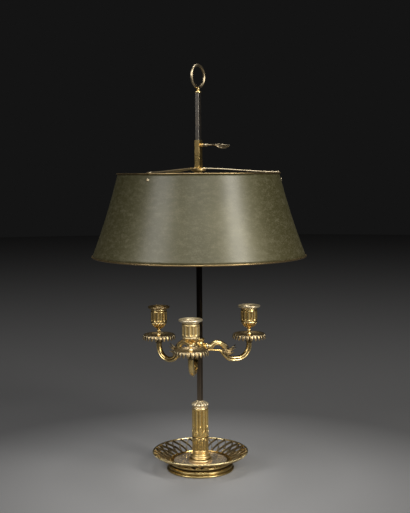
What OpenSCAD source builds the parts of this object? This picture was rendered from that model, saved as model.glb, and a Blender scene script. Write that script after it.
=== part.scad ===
// Bouillotte lamp. A square steel rod stands on a pierced dish. A cluster of
// three candle arms and a painted shade slide on the rod, and each is held by
// a thumb key. Millimetres, +Z up, origin in the middle of the foot's
// underside. The rod's faces look along X and Y, and the shade key along +X.

/* [Base dish] */
// Outside diameter of the foot
foot_d = 112.4; // [104:0.5:124]
// Height of the dish floor above the table
floor_z = 14; // [13:0.5:20]
// Thickness of the dish metal
dish_wall = 2; // [1.5:0.1:2.5]
// Radius of the round moulding at the foot
foot_ring_t = 1.7; // [1.4:0.1:2]

/* [Gallery] */
// Outside diameter of the gallery over its beaded rim
gallery_d = 159.6; // [150:0.5:172]
// Rise of the gallery from the dish floor to the middle of its rim
gallery_rise = 15.4; // [10:0.1:22]
// Thickness of the pierced sheet, measured upright
gallery_t = 1.8; // [1.4:0.1:2.4]
// Number of arches round the gallery
arches = 30; // [24:1:36]
// Width of the bars between the openings
bar_w = 2.3; // [1.2:0.1:2.6]
// Half thickness of the rim
rim_t = 1.5; // [1.2:0.1:2]

/* [Column] */
// Diameter of the column's fluted shaft
column_d = 27.4; // [24:0.2:31]
// Height of the turned column base
column_base_h = 18.6; // [16:0.2:24]
// Height of the shaft
column_h = 70.7; // [60:0.5:90]
// Height of the column cap
cap_h = 12.5; // [11:0.5:16]
// Number of flutes round the column
column_flutes = 12; // [10:1:14]
// Width of a column flute at the column's surface
flute_w = 5.2; // [3.6:0.1:5.6]
// Depth of a column flute
flute_depth = 1.6; // [1:0.1:2]
// Turn of the flutes about the axis, in degrees
column_turn = 5.4; // [0:0.1:30]
// Wall of the hollow column, at its plain bands
column_wall = 4; // [3:0.1:5]

/* [Rod] */
// Width across the flats of the square rod
rod_w = 7.2; // [6:0.1:9]
// Height of the rod's top above the table
rod_top = 621.7; // [590:1:660]
// Diameter of the threaded tail inside the column
tail_d = 6; // [4.6:0.1:7]
// Clearance on each side of the square rod in a sliding sleeve
slide_gap = 0.15; // [0.1:0.01:0.3]
// Clearance on the radius of a screw or stud in its hole
screw_gap = 0.1; // [0.05:0.01:0.2]
// Height of the nut below the dish
nut_h = 4; // [3:0.5:5]
// Thickness of the washer below the dish
washer_t = 1; // [0.6:0.1:1.5]

/* [Finial] */
// Outside diameter of the finial ring
ring_d = 39.7; // [32:0.5:46]
// Thickness of the ring's round bar
ring_t = 4.5; // [3.5:0.1:5.5]
// Height of the collar that closes the rod
collar_h = 3.8; // [3:0.1:6]
// Diameter of the collar
collar_d = 11; // [10.5:0.1:15]
// Height of the neck between the collar and the ring
finial_neck_h = 3.4; // [2.5:0.1:5]

/* [Shade] */
// Height of the shade's upper edge above the table
shade_z = 492.9; // [470:1:500]
// Height of the shade over its rims
shade_h = 136.5; // [120:0.5:150]
// Diameter of the shade at the top, over the painted metal
shade_top_d = 262.4; // [240:0.1:280]
// Spread of the side at the top, as millimetres out for each one down
side_slope = 0.249; // [0.2:0.001:0.3]
// Growth of that spread, for each millimetre down
side_flare = 0.00053; // [0:0.00001:0.0008]
// Thickness of the painted sheet
shade_t = 0.8; // [0.6:0.1:1.2]
// Height of the upper rim
top_rim_h = 1.8; // [1.4:0.1:2.6]
// Projection of the upper rim past the sheet
top_rim_out = 2.4; // [1.4:0.1:3]
// Height of the lower rim
lip_h = 2.6; // [2:0.1:4]
// Projection of the lower rim past the sheet
lip_out = 1.8; // [1.4:0.1:4]

/* [Shade carrier] */
// Wall of the square brass sleeve
sleeve_wall = 0.95; // [0.8:0.05:1.5]
// Height of the sleeve above the spider
sleeve_h = 45; // [36:0.5:60]
// Length of the sleeve below the spider's hub
sleeve_foot = 4; // [2:0.5:8]
// Drop of the key's axis below the sleeve's top
key_drop = 8; // [7:0.5:14]
// Radius of the spider's hub plate
spider_hub_r = 12; // [11:0.5:16]
// Thickness of the hub plate and of the spider arms
spider_t = 2; // [1.4:0.1:2.6]
// Width of a spider arm
spider_w = 8; // [6.5:0.5:10]
// Height of the hub over the outer ends of the spider arms
spider_rise = 6; // [3:0.5:12]
// Depth of the turned down tab at the end of a spider arm
tab_h = 17; // [14:0.5:24]
// Distance of the screws below the shade's upper edge
screw_drop = 10.5; // [9:0.5:13]
// Diameter of the shade screws
screw_d = 3; // [2.5:0.1:3.6]

/* [Thumb keys] */
// Length of the shade key from the boss face to its tip
key_len = 51.5; // [40:0.5:56]
// Width of the shade key's leaf
leaf_w = 9.4; // [7:0.2:12]
// Length of the shade key's leaf
leaf_len = 28; // [20:0.5:30]
// Thickness of a key's leaf
leaf_t = 2.4; // [1.8:0.1:3]
// Diameter of the keys' threaded part
key_d = 3.4; // [2.8:0.1:3.6]
// Length of the boss that the shade key screws into
boss_len = 4.8; // [3.5:0.1:7]
// Length of the candle key from the boss face to its tip
candle_key_len = 17; // [14:0.5:24]

/* [Candle cluster] */
// Height of the arm roots above the table
cluster_z = 206.5; // [200:0.5:300]
// Distance from the rod's axis to each candle
arm_reach = 89.5; // [86:0.5:94]
// Turn of the cluster on the rod, in degrees
cluster_turn = -3.6; // [-10:0.1:10]
// Extra length of the second arm's neck, under its pan
long_neck = 4.5; // [0:0.5:6]
// Radius of the turned candle hub
candle_hub_r = 7.5; // [7.2:0.1:9]
// Thickness of the round arm
arm_d = 9.2; // [8:0.1:10]
// Radius of the arm's rising bend, to the middle of the arm
bend_r = 22; // [20:0.5:23]
// Thickness of the scroll over the arm
scroll_d = 6.8; // [5:0.1:7.4]
// Thickness of the straight bar under the scroll
strap_d = 3.2; // [2.6:0.1:4]

/* [Drip pans and nozzles] */
// Height of a pan's well over the arm roots
pan_seat = 7; // [5:0.1:12]
// Outside diameter of a drip pan over its tongues
pan_d = 56; // [50:0.5:60]
// Thickness of the pan metal
pan_t = 1.2; // [0.9:0.1:1.6]
// Depth of the pan's well
pan_depth = 4.2; // [3:0.1:6]
// Height of the hanging border of tongues
tongue_h = 8; // [6:0.1:10]
// Number of tongues round a pan
tongues = 24; // [18:1:28]
// Diameter of a nozzle over its flutes
nozzle_d = 28; // [27:0.2:31]
// Height of a nozzle from the pan's well to its top
nozzle_h = 48.5; // [45:0.1:54]
// Number of flutes round a nozzle
nozzle_flutes = 12; // [10:1:14]
// Width of a nozzle flute at the nozzle's surface
nozzle_flute_w = 4.8; // [3.4:0.1:5.2]
// Depth of a nozzle flute
nozzle_flute_depth = 1.5; // [1:0.1:1.7]
// Diameter of the candle's hole
candle_d = 20; // [18:0.1:21]
// Diameter of the loose candle ring over its flange
bobeche_d = 37.4; // [33:0.2:42]
// Wall of the candle ring's tube
bobeche_wall = 0.9; // [0.7:0.1:1]
// Length of the candle ring's tube below its flange
bobeche_len = 16; // [10:0.5:18]
// Height of the candle ring's dished flange
bobeche_t = 4.2; // [3:0.1:5]
// Diameter of the studs that hold pans and nozzles
stud_d = 3; // [2.4:0.1:3.6]

/* [Hidden] */
$fn = 64;
// Overrun of a cut past the face it leaves
cut = 1;

// Colours of the finishes
gilt = [0.72, 0.54, 0.25];
steel = [0.42, 0.41, 0.39];
olive = [0.33, 0.32, 0.22];

// Heights up the fixed stem
foot_r = foot_d / 2;
column_z = floor_z + column_base_h;
cap_z = column_z + column_h;
cap_top = cap_z + cap_h;
column_r = column_d / 2;
tail_hole_r = tail_d / 2 + screw_gap;
collar_z = rod_top;
ring_seat = 0.5;
ring_mid_z = collar_z + collar_h + finial_neck_h + ring_d / 2 - ring_seat;
top_stud_r = 2;
top_stud_h = 3;

// Gallery
rim_r = gallery_d / 2 - rim_t;
rim_z = floor_z + gallery_rise;
gallery_r0 = foot_r - 7;
wall_r0 = gallery_r0 + 1;
wall_r1 = rim_r - rim_t;
lattice_r0 = gallery_r0 + 2.6;
lattice_r1 = wall_r1 - 1.2;
arch_step = 360 / arches;
arch_shape = 0.6;
gallery_phase = 7.5;

// Shade carrier
slot_w = rod_w + 2 * slide_gap;
sleeve_w = slot_w + 2 * sleeve_wall;
spider_end_z = shade_z + spider_t;
hub_plate_z = spider_end_z + spider_rise - 2 * spider_t;
sleeve_top = hub_plate_z + 2 * spider_t + sleeve_h;
key_z = sleeve_top - key_drop;
boss_r = key_d / 2 + 1.2;
spider_angles = [-90, 30, 150];
wall_top_z = shade_z - top_rim_h;
wall_bottom_z = shade_z - shade_h + lip_h;
tab_gap = 0.3;
tab_t = 1.6;
rivet_r = 1.2;
rivet_seat_r = (sleeve_w / sqrt(2) + spider_hub_r) / 2 + 0.6;

// Candle cluster
arm_angles = [
    for (k = [0:2]) -60 + cluster_turn + 120 * k
];
arm_lifts = [0, long_neck, 0];
tenon_r = 2.2;
tenon_hole_r = tenon_r + screw_gap;
knuckle_r = 4.9;
knuckle_at = candle_hub_r + 2.9;
strap_drop = 6.2;
bend_x = arm_reach - bend_r;
bend_drop = 8;
bend_start = -135;
strap_end_x = 31.5;
neck_arc_r = 16;
neck_turn = -45;
scroll_r = 16;
scroll_x = 34.5;
scroll_drop = 11;
cup_r = 6.5;
cup_h = 9.4;
candle_key_drop = 9.5;
candle_boss_r = 2.5;
candle_boss_at = candle_hub_r + 1.5;
stud_r = stud_d / 2;
stud_hole_r = stud_r + 0.05;
stud_down = 9;
stud_up = 8;

// Radius of the sheet's outside at height z
function side_r(z) =
    let (down = shade_z - z)
    shade_top_d / 2 + side_slope * down + side_flare * down * down;
// Slope of the sheet at height z, in degrees from upright
function side_tilt(z) =
    atan(side_slope + 2 * side_flare * (shade_z - z));
// Height of a cluster part over the table, for arm k
function well_z(k) = cluster_z + pan_seat + arm_lifts[k];

// ---------------------------------------------------------------- helpers

// Turns a closed outline of [radius, height] points about the rod's axis
module turned(outline) {
    rotate_extrude() polygon(outline);
}

// A round bar bent to part of a circle, standing in the XZ plane
module bent_bar(r, t, from, to) {
    rotate([90, 0, 0])
        rotate([0, 0, from])
            rotate_extrude(angle = to - from)
                translate([r, 0]) circle(t / 2);
}

// A straight bar from p to q in the XZ plane, tapering from d1 to d2
module bar_between(p, q, d1, d2) {
    len = norm(q - p);
    lean = atan2(q[0] - p[0], q[1] - p[1]);
    translate([p[0], 0, p[1]])
        rotate([0, lean, 0])
            cylinder(h = len, d1 = d1, d2 = d2);
}

// Upright square prism about the axis
module square_bar(w, z0, z1) {
    translate([-w / 2, -w / 2, z0]) cube([w, w, z1 - z0]);
}

// Hexagonal nut standing on z = 0
module hex_nut(across, h, hole_r) {
    difference() {
        cylinder(h = h, d = across / cos(30), $fn = 6);
        translate([0, 0, -cut]) cylinder(h = h + 2 * cut, r = hole_r);
    }
}

// ------------------------------------------------------------ dish and foot

module base_dish() {
    seat_r = gallery_r0 + 1.4;
    cove_z = floor_z - 3.6;
    ovolo_t = 2.5;
    ovolo_z = 2 * foot_ring_t + ovolo_t;
    inner_r = foot_r - 2 * foot_ring_t - dish_wall;
    color(gilt) difference() {
        union() {
            turned([
                [0, 0], [foot_r - foot_ring_t, 0],
                [foot_r - foot_ring_t - 0.6, 2 * foot_ring_t],
                [foot_r - ovolo_t - 2, ovolo_z + ovolo_t],
                [seat_r - 1, cove_z], [seat_r, floor_z - 2.4],
                [seat_r, floor_z], [0, floor_z]
            ]);
            rotate_extrude()
                translate([foot_r - foot_ring_t, foot_ring_t])
                    circle(foot_ring_t);
            rotate_extrude()
                translate([foot_r - ovolo_t - 2.4, ovolo_z])
                    circle(ovolo_t);
        }
        turned([
            [0, -cut], [inner_r, -cut], [inner_r, foot_ring_t * 2],
            [seat_r - 1 - dish_wall, cove_z],
            [seat_r - 1 - dish_wall, floor_z - dish_wall],
            [0, floor_z - dish_wall]
        ]);
        translate([0, 0, -cut]) cylinder(h = floor_z + 2 * cut, r = tail_hole_r);
    }
}

// Height of the sheet's underside at radius r
function sheet_z(r) =
    floor_z + (rim_z - gallery_t / 2 - floor_z) * (r - wall_r0) / (wall_r1 - wall_r0);
// Angle that an arch has run, out of one step, at radius r
function arch_run(r) =
    pow((r - lattice_r0) / (lattice_r1 - lattice_r0), 1 / arch_shape);
crossing_r = lattice_r0 + (lattice_r1 - lattice_r0) * pow(0.5, arch_shape);
// Arc length of a share of one step at radius r
function step_len(r, share) = r * arch_step * share * PI / 180;

// Outline of one opening, from its half widths at rising radii
function opening(radii, widths) = concat(
    [for (i = [0:len(radii) - 1]) [widths[i], radii[i]]],
    [for (i = [len(radii) - 1:-1:0]) [-widths[i], radii[i]]]
);

// Pointed window between the legs of two arches
module window_cut() {
    top = crossing_r - bar_w * 1.5;
    radii = [for (i = [0:4]) lattice_r0 + bar_w / 2 + (top - lattice_r0 - bar_w / 2) * i / 4];
    widths = [for (r = radii) max(0.3, step_len(r, 0.5 - arch_run(r)) - bar_w * 0.6)];
    polygon(opening(radii, widths));
}

// Tall leaf opening over a meeting point of two arches
module leaf_cut() {
    low = lattice_r0 + bar_w * 3.4;
    high = lattice_r1 - bar_w * 0.9;
    lower = [for (i = [0:3]) low + (crossing_r - low) * i / 3];
    upper = [for (i = [1:2]) crossing_r + (high - crossing_r) * i / 2];
    radii = concat(lower, upper);
    widths = concat(
        [for (r = lower) max(0.3, step_len(r, arch_run(r)) - bar_w * 0.75)],
        [for (r = upper) max(0.3, step_len(r, 1 - arch_run(r)) - bar_w * 0.8)]
    );
    polygon(opening(radii, widths));
}

// Three cornered opening under the rim
module spandrel_cut() {
    low = crossing_r + bar_w * 1.3;
    high = lattice_r1 - bar_w * 0.1;
    radii = [for (i = [0:2]) low + (high - low) * i / 2];
    widths = [for (r = radii) max(0.3, step_len(r, arch_run(r) - 0.5) - bar_w * 0.8)];
    polygon(opening(radii, widths));
}

module gallery() {
    color(gilt) difference() {
        union() {
            turned([
                [wall_r0, floor_z], [wall_r1, sheet_z(wall_r1)],
                [wall_r1, sheet_z(wall_r1) + gallery_t],
                [wall_r0, floor_z + gallery_t]
            ]);
            turned([
                [gallery_r0 - 1.4, floor_z], [gallery_r0 + 1.4, floor_z],
                [gallery_r0 + 1.4, floor_z + 1.6],
                [gallery_r0 - 0.6, floor_z + 2.2],
                [gallery_r0 - 1.4, floor_z + 1.2]
            ]);
        }
        for (k = [0:arches - 1])
            translate([0, 0, floor_z - cut])
                rotate([0, 0, gallery_phase - 90 + arch_step * k])
                    linear_extrude(gallery_rise + 3 * cut) leaf_cut();
        for (k = [0:arches - 1])
            translate([0, 0, floor_z - cut])
                rotate([0, 0, gallery_phase - 90 + arch_step * (k + 0.5)])
                    linear_extrude(gallery_rise + 3 * cut) {
                        window_cut();
                        spandrel_cut();
                    }
    }
}

module gallery_rim() {
    color(gilt) difference() {
        rotate_extrude() translate([rim_r, rim_z]) circle(rim_t);
        cylinder(h = rim_z + 2 * rim_t, r = wall_r1);
    }
}

// ------------------------------------------------------------------- column

module column_base() {
    torus_a = 1.65;
    torus_b = 1.5;
    torus_c = 1.2;
    core_r = column_r - 0.6;
    color(gilt) difference() {
        union() {
            turned([
                [0, floor_z], [column_r + 4.4, floor_z],
                [column_r + 4, floor_z + 2 * torus_a],
                [column_r + 1.6, floor_z + 5.2],
                [column_r + 1, floor_z + 9.4],
                [core_r, floor_z + 11.6], [core_r, column_z], [0, column_z]
            ]);
            rotate_extrude()
                translate([column_r + 5.9 - torus_a, floor_z + 1.8])
                    circle(torus_a);
            rotate_extrude()
                translate([column_r + 2.9 - torus_b, floor_z + 7.7])
                    circle(torus_b);
            rotate_extrude()
                translate([column_r + 0.8 - torus_c, column_z - torus_c])
                    circle(torus_c);
        }
        translate([0, 0, floor_z - cut])
            cylinder(h = column_base_h + 2 * cut, r = tail_hole_r);
    }
}

// Cutter for one upright round-ended flute of width w and the given depth, in
// a surface at radius r
module flute(r, w, depth, z0, z1) {
    round_r = (w * w / 4 + depth * depth) / (2 * depth);
    translate([r + round_r - depth, 0, 0]) {
        translate([0, 0, z0 + w / 2]) cylinder(h = z1 - z0 - w, r = round_r);
        translate([0, 0, z0 + w / 2]) sphere(round_r);
        translate([0, 0, z1 - w / 2]) sphere(round_r);
    }
}

module column() {
    band_low = column_z + column_h * 0.28;
    band_high = column_z + column_h * 0.45;
    reed_depth = flute_depth * 0.45;
    color(gilt) difference() {
        translate([0, 0, column_z]) cylinder(h = column_h, r = column_r);
        translate([0, 0, column_z - cut])
            cylinder(h = column_h + 2 * cut, r = column_r - column_wall);
        for (k = [0:column_flutes - 1])
            rotate([0, 0, column_turn + 360 * (k + 0.5) / column_flutes]) {
                flute(column_r, flute_w, flute_depth, band_high + 2, cap_z - 2.4);
                flute(column_r, flute_w, reed_depth, column_z + 1.4, band_low - 0.6);
            }
    }
}

module column_cap() {
    lip_r = column_r + 0.9;
    brow_z = cap_z + cap_h * 0.5;
    top_r = rod_w * 0.74;
    color(gilt) difference() {
        turned([
            [0, cap_z], [column_r - 0.4, cap_z],
            [column_r - 0.4, cap_z + 1.6],
            [column_r - 1.2, cap_z + 2.6], [lip_r - 1, brow_z - 1.2],
            [lip_r, brow_z], [lip_r - 0.6, brow_z + 1],
            [column_r * 0.68, cap_top - 2.4], [top_r, cap_top], [0, cap_top]
        ]);
        translate([0, 0, cap_z - cut])
            cylinder(h = cap_h + 2 * cut, r = tail_hole_r);
        for (k = [0:column_flutes - 1])
            rotate([0, 0, column_turn + 360 * k / column_flutes])
                translate([lip_r + 1, 0, brow_z - 0.8])
                    rotate([0, -56, 0])
                        cylinder(h = column_r * 0.62, d1 = 3.6, d2 = 1.6);
    }
}

// ---------------------------------------------------------------------- rod

module rod() {
    color(steel) union() {
        square_bar(rod_w, cap_top, rod_top);
        translate([0, 0, floor_z - dish_wall - washer_t - nut_h - cut])
            cylinder(
                h = cap_top - floor_z + dish_wall + washer_t + nut_h + cut,
                d = tail_d
            );
        translate([0, 0, rod_top]) cylinder(h = top_stud_h, r = top_stud_r);
    }
}

module rod_washer() {
    color(steel) translate([0, 0, floor_z - dish_wall - washer_t]) difference() {
        cylinder(h = washer_t, r = tail_d * 1.4);
        translate([0, 0, -cut]) cylinder(h = washer_t + 2 * cut, r = tail_hole_r);
    }
}

module rod_nut() {
    color(steel)
        translate([0, 0, floor_z - dish_wall - washer_t - nut_h])
            hex_nut(tail_d * 1.7, nut_h, tail_hole_r);
}

module finial_collar() {
    neck_r = 2.6;
    neck_top = collar_z + collar_h + finial_neck_h;
    color(gilt) difference() {
        turned([
            [0, collar_z], [collar_d / 2 - 0.5, collar_z],
            [collar_d / 2, collar_z + 0.6],
            [collar_d / 2, collar_z + 1.8],
            [collar_d / 2 - 1.6, collar_z + collar_h - 0.8],
            [neck_r, collar_z + collar_h], [neck_r - 0.5, neck_top - 1.6],
            [neck_r, neck_top], [neck_r - 0.4, neck_top + 0.8],
            [0, neck_top + 0.8]
        ]);
        translate([0, 0, collar_z - cut])
            cylinder(h = top_stud_h + cut, r = top_stud_r + screw_gap);
        finial_ring_form();
    }
}

module finial_ring_form() {
    translate([0, 0, ring_mid_z])
        rotate([0, 90, 0])
            rotate_extrude()
                translate([(ring_d - ring_t) / 2, 0]) circle(ring_t / 2);
}

module finial_ring() {
    color(gilt) finial_ring_form();
}

// ------------------------------------------------------------ shade carrier

module shade_sleeve() {
    color(gilt) difference() {
        union() {
            square_bar(sleeve_w, hub_plate_z - sleeve_foot, sleeve_top);
            translate([sleeve_w / 2, 0, key_z])
                rotate([0, 90, 0]) cylinder(h = boss_len, r = boss_r);
        }
        square_bar(slot_w, hub_plate_z - sleeve_foot - cut, sleeve_top + cut);
        translate([0, 0, key_z])
            rotate([0, 90, 0])
                cylinder(h = sleeve_w / 2 + boss_len + cut, r = key_d / 2 + screw_gap);
    }
}

module shade_hub() {
    color(gilt) difference() {
        turned([
            [0, hub_plate_z - 1.4], [spider_hub_r - 3, hub_plate_z - 1.4],
            [spider_hub_r, hub_plate_z], [spider_hub_r, hub_plate_z + spider_t],
            [0, hub_plate_z + spider_t]
        ]);
        square_bar(sleeve_w, hub_plate_z - 2 * cut, hub_plate_z + spider_t + cut);
        for (a = spider_angles)
            rotate([0, 0, a])
                translate([rivet_seat_r, 0, hub_plate_z - 2 * cut])
                    cylinder(h = 4 * spider_t, r = rivet_r + screw_gap);
    }
}

// Frame at the sheet's inside at the height of the screws, for one arm:
// X looks out through the sheet, square to it
module at_screw(a) {
    z = shade_z - screw_drop;
    rotate([0, 0, a])
        translate([side_r(z) - shade_t, 0, z])
            rotate([0, -side_tilt(z), 0]) children();
}

module spider_arm(a) {
    tab_w = spider_w - 0.6;
    color(gilt) union() {
        difference() {
            spider_strip(a);
            square_bar(sleeve_w, hub_plate_z, hub_plate_z + 3 * spider_t);
            rotate([0, 0, a])
                translate([rivet_seat_r, 0, hub_plate_z])
                    cylinder(h = 3 * spider_t, r = rivet_r + screw_gap);
        }
        at_screw(a)
            difference() {
                translate([-tab_gap - tab_t, -tab_w / 2, screw_drop - tab_h])
                    cube([tab_t, tab_w, tab_h + 0.8]);
                rotate([0, 90, 0])
                    translate([0, 0, -tab_gap - tab_t - 2 * cut])
                        cylinder(h = tab_t + 4 * cut, r = screw_d / 2 + screw_gap);
            }
    }
}

// Flat bar of one spider arm, from the sleeve down to the upper rim
module spider_strip(a) {
    seat_z = hub_plate_z + spider_t;
    end_r = side_r(shade_z) - shade_t - tab_gap - tab_t - 0.6;
    slope_r = spider_hub_r + 0.5;
    root_r = sleeve_w / 2 - 0.5;
    rotate([0, 0, a])
        translate([0, spider_w / 2, 0])
            rotate([90, 0, 0])
                linear_extrude(spider_w)
                    polygon([
                        [root_r, seat_z], [slope_r, seat_z],
                        [end_r, shade_z], [side_r(shade_z), shade_z],
                        [side_r(shade_z), shade_z + spider_t * 0.6],
                        [end_r, shade_z + spider_t],
                        [slope_r, seat_z + spider_t],
                        [root_r, seat_z + spider_t]
                    ]);
}

module spider_rivets() {
    shank = 2 * spider_t + 1;
    head_r = rivet_r + 0.9;
    for (a = spider_angles)
        color(gilt)
            rotate([0, 0, a])
                translate([rivet_seat_r, 0, hub_plate_z + 2 * spider_t]) {
                    rotate_extrude()
                        polygon([[0, 0], [head_r, 0], [head_r - 0.4, 0.6], [0, 0.9]]);
                    translate([0, 0, -shank]) cylinder(h = shank, r = rivet_r);
                }
}

// Flat leaf with two pointed ends along X, its middle at the origin
module leaf(len, w, t) {
    r = (pow(len / 2, 2) + pow(w / 2, 2)) / w;
    rotate([90, 0, 0])
        translate([0, 0, -t / 2])
            linear_extrude(t)
                intersection() {
                    translate([0, r - w / 2]) circle(r);
                    translate([0, w / 2 - r]) circle(r);
                }
}

module shade_key() {
    face_x = sleeve_w / 2 + boss_len;
    shoulder = 7.4;
    neck_r = 1.3;
    leaf_x = face_x + key_len - leaf_len;
    color(gilt) translate([0, 0, key_z]) {
        translate([rod_w / 2 + 0.2, 0, 0])
            rotate([0, 90, 0]) cylinder(h = face_x - rod_w / 2 + 1, r = key_d / 2);
        translate([face_x + 0.2, 0, 0])
            rotate([0, 90, 0]) cylinder(h = shoulder, r1 = 2.7, r2 = 2.1);
        translate([face_x + 0.2 + shoulder, 0, 0])
            rotate([0, 90, 0])
                cylinder(h = leaf_x - face_x - shoulder + 3, r = neck_r);
        translate([leaf_x + leaf_len / 2, 0, 0]) leaf(leaf_len, leaf_w, leaf_t);
    }
}

// -------------------------------------------------------------------- shade

// Heights of the sheet's outline, from the lower rim up
sheet_steps = 10;
function sheet_heights() = [
    for (i = [0:sheet_steps])
        wall_bottom_z + (wall_top_z - wall_bottom_z) * i / sheet_steps
];

module shade_body() {
    outline = concat(
        [for (z = sheet_heights()) [side_r(z), z]],
        [for (i = [sheet_steps:-1:0])
            let (z = sheet_heights()[i]) [side_r(z) - shade_t, z]]
    );
    color(olive) difference() {
        turned(outline);
        for (a = spider_angles)
            at_screw(a)
                translate([-2 * cut, 0, 0])
                    rotate([0, 90, 0])
                        cylinder(h = shade_t + 4 * cut, r = screw_d / 2 + screw_gap);
    }
}

module shade_top_rim() {
    r = side_r(wall_top_z);
    color(gilt) turned([
        [r - shade_t - 0.3, wall_top_z], [r + top_rim_out - 0.5, wall_top_z],
        [r + top_rim_out, wall_top_z + top_rim_h * 0.45],
        [r + top_rim_out - 0.5, shade_z - 0.25],
        [r + top_rim_out * 0.4, shade_z], [r - shade_t - 0.3, shade_z]
    ]);
}

module shade_bottom_rim() {
    r = side_r(wall_bottom_z);
    low = shade_z - shade_h;
    color(gilt) turned([
        [r - shade_t - 0.4, low + 0.4], [r - shade_t, low],
        [r + lip_out * 0.3, low + 0.2], [r + lip_out * 0.8, low + lip_h * 0.35],
        [r + lip_out, low + lip_h * 0.75],
        [r + lip_out * 0.7, wall_bottom_z], [r - shade_t - 0.4, wall_bottom_z]
    ]);
}

module shade_screws() {
    head_r = 2.9;
    head_h = 1.3;
    shank_in = tab_gap + tab_t + 3.2;
    for (a = spider_angles)
        color(gilt)
            at_screw(a)
                rotate([0, 90, 0]) {
                    translate([0, 0, shade_t + 0.05])
                        rotate_extrude()
                            polygon([
                                [0, 0], [head_r, 0], [head_r, 0.3],
                                [head_r * 0.7, head_h * 0.8], [0, head_h]
                            ]);
                    translate([0, 0, -shank_in])
                        cylinder(h = shank_in + shade_t + 0.2, d = screw_d);
                }
}

module shade_nuts() {
    nut_t = 2.2;
    for (a = spider_angles)
        color(gilt)
            at_screw(a)
                translate([-tab_gap - tab_t - nut_t - 0.02, 0, 0])
                    rotate([0, 90, 0])
                        hex_nut(screw_d * 1.8, nut_t, screw_d / 2 + screw_gap);
}

// ----------------------------------------------------------- candle cluster

module candle_hub() {
    low = cluster_z - 14.5;
    high = cluster_z + 14;
    color(gilt) difference() {
        union() {
            turned([
                [0, low], [candle_hub_r - 1.6, low],
                [candle_hub_r - 0.9, low + 1.6],
                [candle_hub_r, low + 2.6], [candle_hub_r, high - 7],
                [candle_hub_r - 0.9, high - 6], [candle_hub_r - 0.9, high - 3.4],
                [candle_hub_r + 0.2, high - 2.2], [candle_hub_r + 0.2, high - 0.6],
                [candle_hub_r - 0.6, high], [0, high]
            ]);
            translate([0, 0, cluster_z - candle_key_drop])
                rotate([-90, 0, 0])
                    cylinder(h = candle_boss_at, r = candle_boss_r);
        }
        square_bar(slot_w, low - cut, high + cut);
        translate([0, 0, cluster_z - candle_key_drop])
            rotate([-90, 0, 0])
                cylinder(h = candle_boss_at + cut, r = key_d / 2 + screw_gap);
        for (a = arm_angles)
            rotate([0, 0, a])
                translate([0, 0, cluster_z])
                    rotate([0, 90, 0])
                        cylinder(h = candle_hub_r + cut, r = tenon_hole_r);
    }
}

module candle_key() {
    shoulder = 3;
    small_leaf = 11;
    tip_y = candle_boss_at + candle_key_len;
    color(gilt)
        translate([0, 0, cluster_z - candle_key_drop])
            rotate([0, 0, 90]) {
                translate([rod_w / 2 + 0.2, 0, 0])
                    rotate([0, 90, 0])
                        cylinder(h = candle_boss_at - rod_w / 2 + 1, r = key_d / 2);
                translate([candle_boss_at + 0.2, 0, 0])
                    rotate([0, 90, 0])
                        cylinder(h = shoulder, r1 = 2.4, r2 = 1.8);
                translate([candle_boss_at + 0.2 + shoulder, 0, 0])
                    rotate([0, 90, 0])
                        cylinder(
                            h = candle_key_len - small_leaf - shoulder + 2,
                            r = 1.2
                        );
                translate([tip_y - small_leaf / 2, 0, 0])
                    leaf(small_leaf, leaf_w * 0.7, leaf_t * 0.8);
            }
}

// The cast part of an arm that leaves the hub, in the XZ plane with the arm
// root at the origin
module arm_sweep() {
    slope = -5;
    strap_end = [strap_end_x, -strap_drop - (strap_end_x - candle_hub_r) * tan(-slope)];
    neck_mid = [
        strap_end[0] + neck_arc_r * sin(slope),
        strap_end[1] - neck_arc_r * cos(slope)
    ];
    neck_out = [
        neck_mid[0] + neck_arc_r * cos(90 + neck_turn),
        neck_mid[1] + neck_arc_r * sin(90 + neck_turn)
    ];
    bend_in = [
        bend_x + bend_r * cos(bend_start),
        -bend_drop + bend_r * sin(bend_start)
    ];
    sheath_root = neck_out + [3, 4];
    sheath_tip = [bend_x + 3, -bend_drop - 4];
    scroll_from = 30;
    scroll_to = 148;
    // root boss, and the tie from it to the scroll
    translate([knuckle_at, 0, 0]) sphere(knuckle_r);
    bar_between([knuckle_at, 0], [scroll_x - scroll_r * 0.82, -1.6], 5, 5);
    // straight strap and the neck that turns down
    bar_between([candle_hub_r - 1, -strap_drop], strap_end, strap_d, strap_d);
    translate([neck_mid[0], 0, neck_mid[1]])
        bent_bar(neck_arc_r, strap_d * 1.5, 90 + neck_turn - 2, 90 + slope + 2);
    bar_between(neck_out, bend_in + [1.6, -1.4], strap_d * 1.3, arm_d * 0.92);
    // rising bend
    translate([bend_x, 0, -bend_drop]) bent_bar(bend_r, arm_d, bend_start - 2, 0);
    // scroll over the strap, with a ball at each end
    translate([scroll_x, 0, -scroll_drop]) {
        bent_bar(scroll_r, scroll_d, scroll_from, scroll_to);
        for (a = [scroll_from, scroll_to])
            translate([scroll_r * cos(a), 0, scroll_r * sin(a)])
                sphere(d = scroll_d * 1.1);
    }
    // leaf sheath, with a curled tip
    bar_between(sheath_root, sheath_tip, 11.4, 7);
    translate([sheath_root[0], 0, sheath_root[1]]) sphere(d = 12);
    translate([sheath_tip[0], 0, sheath_tip[1]]) sphere(d = 7.6);
    translate([neck_out[0] + 7, 0, neck_out[1] - 6]) sphere(d = 12);
}

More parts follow.
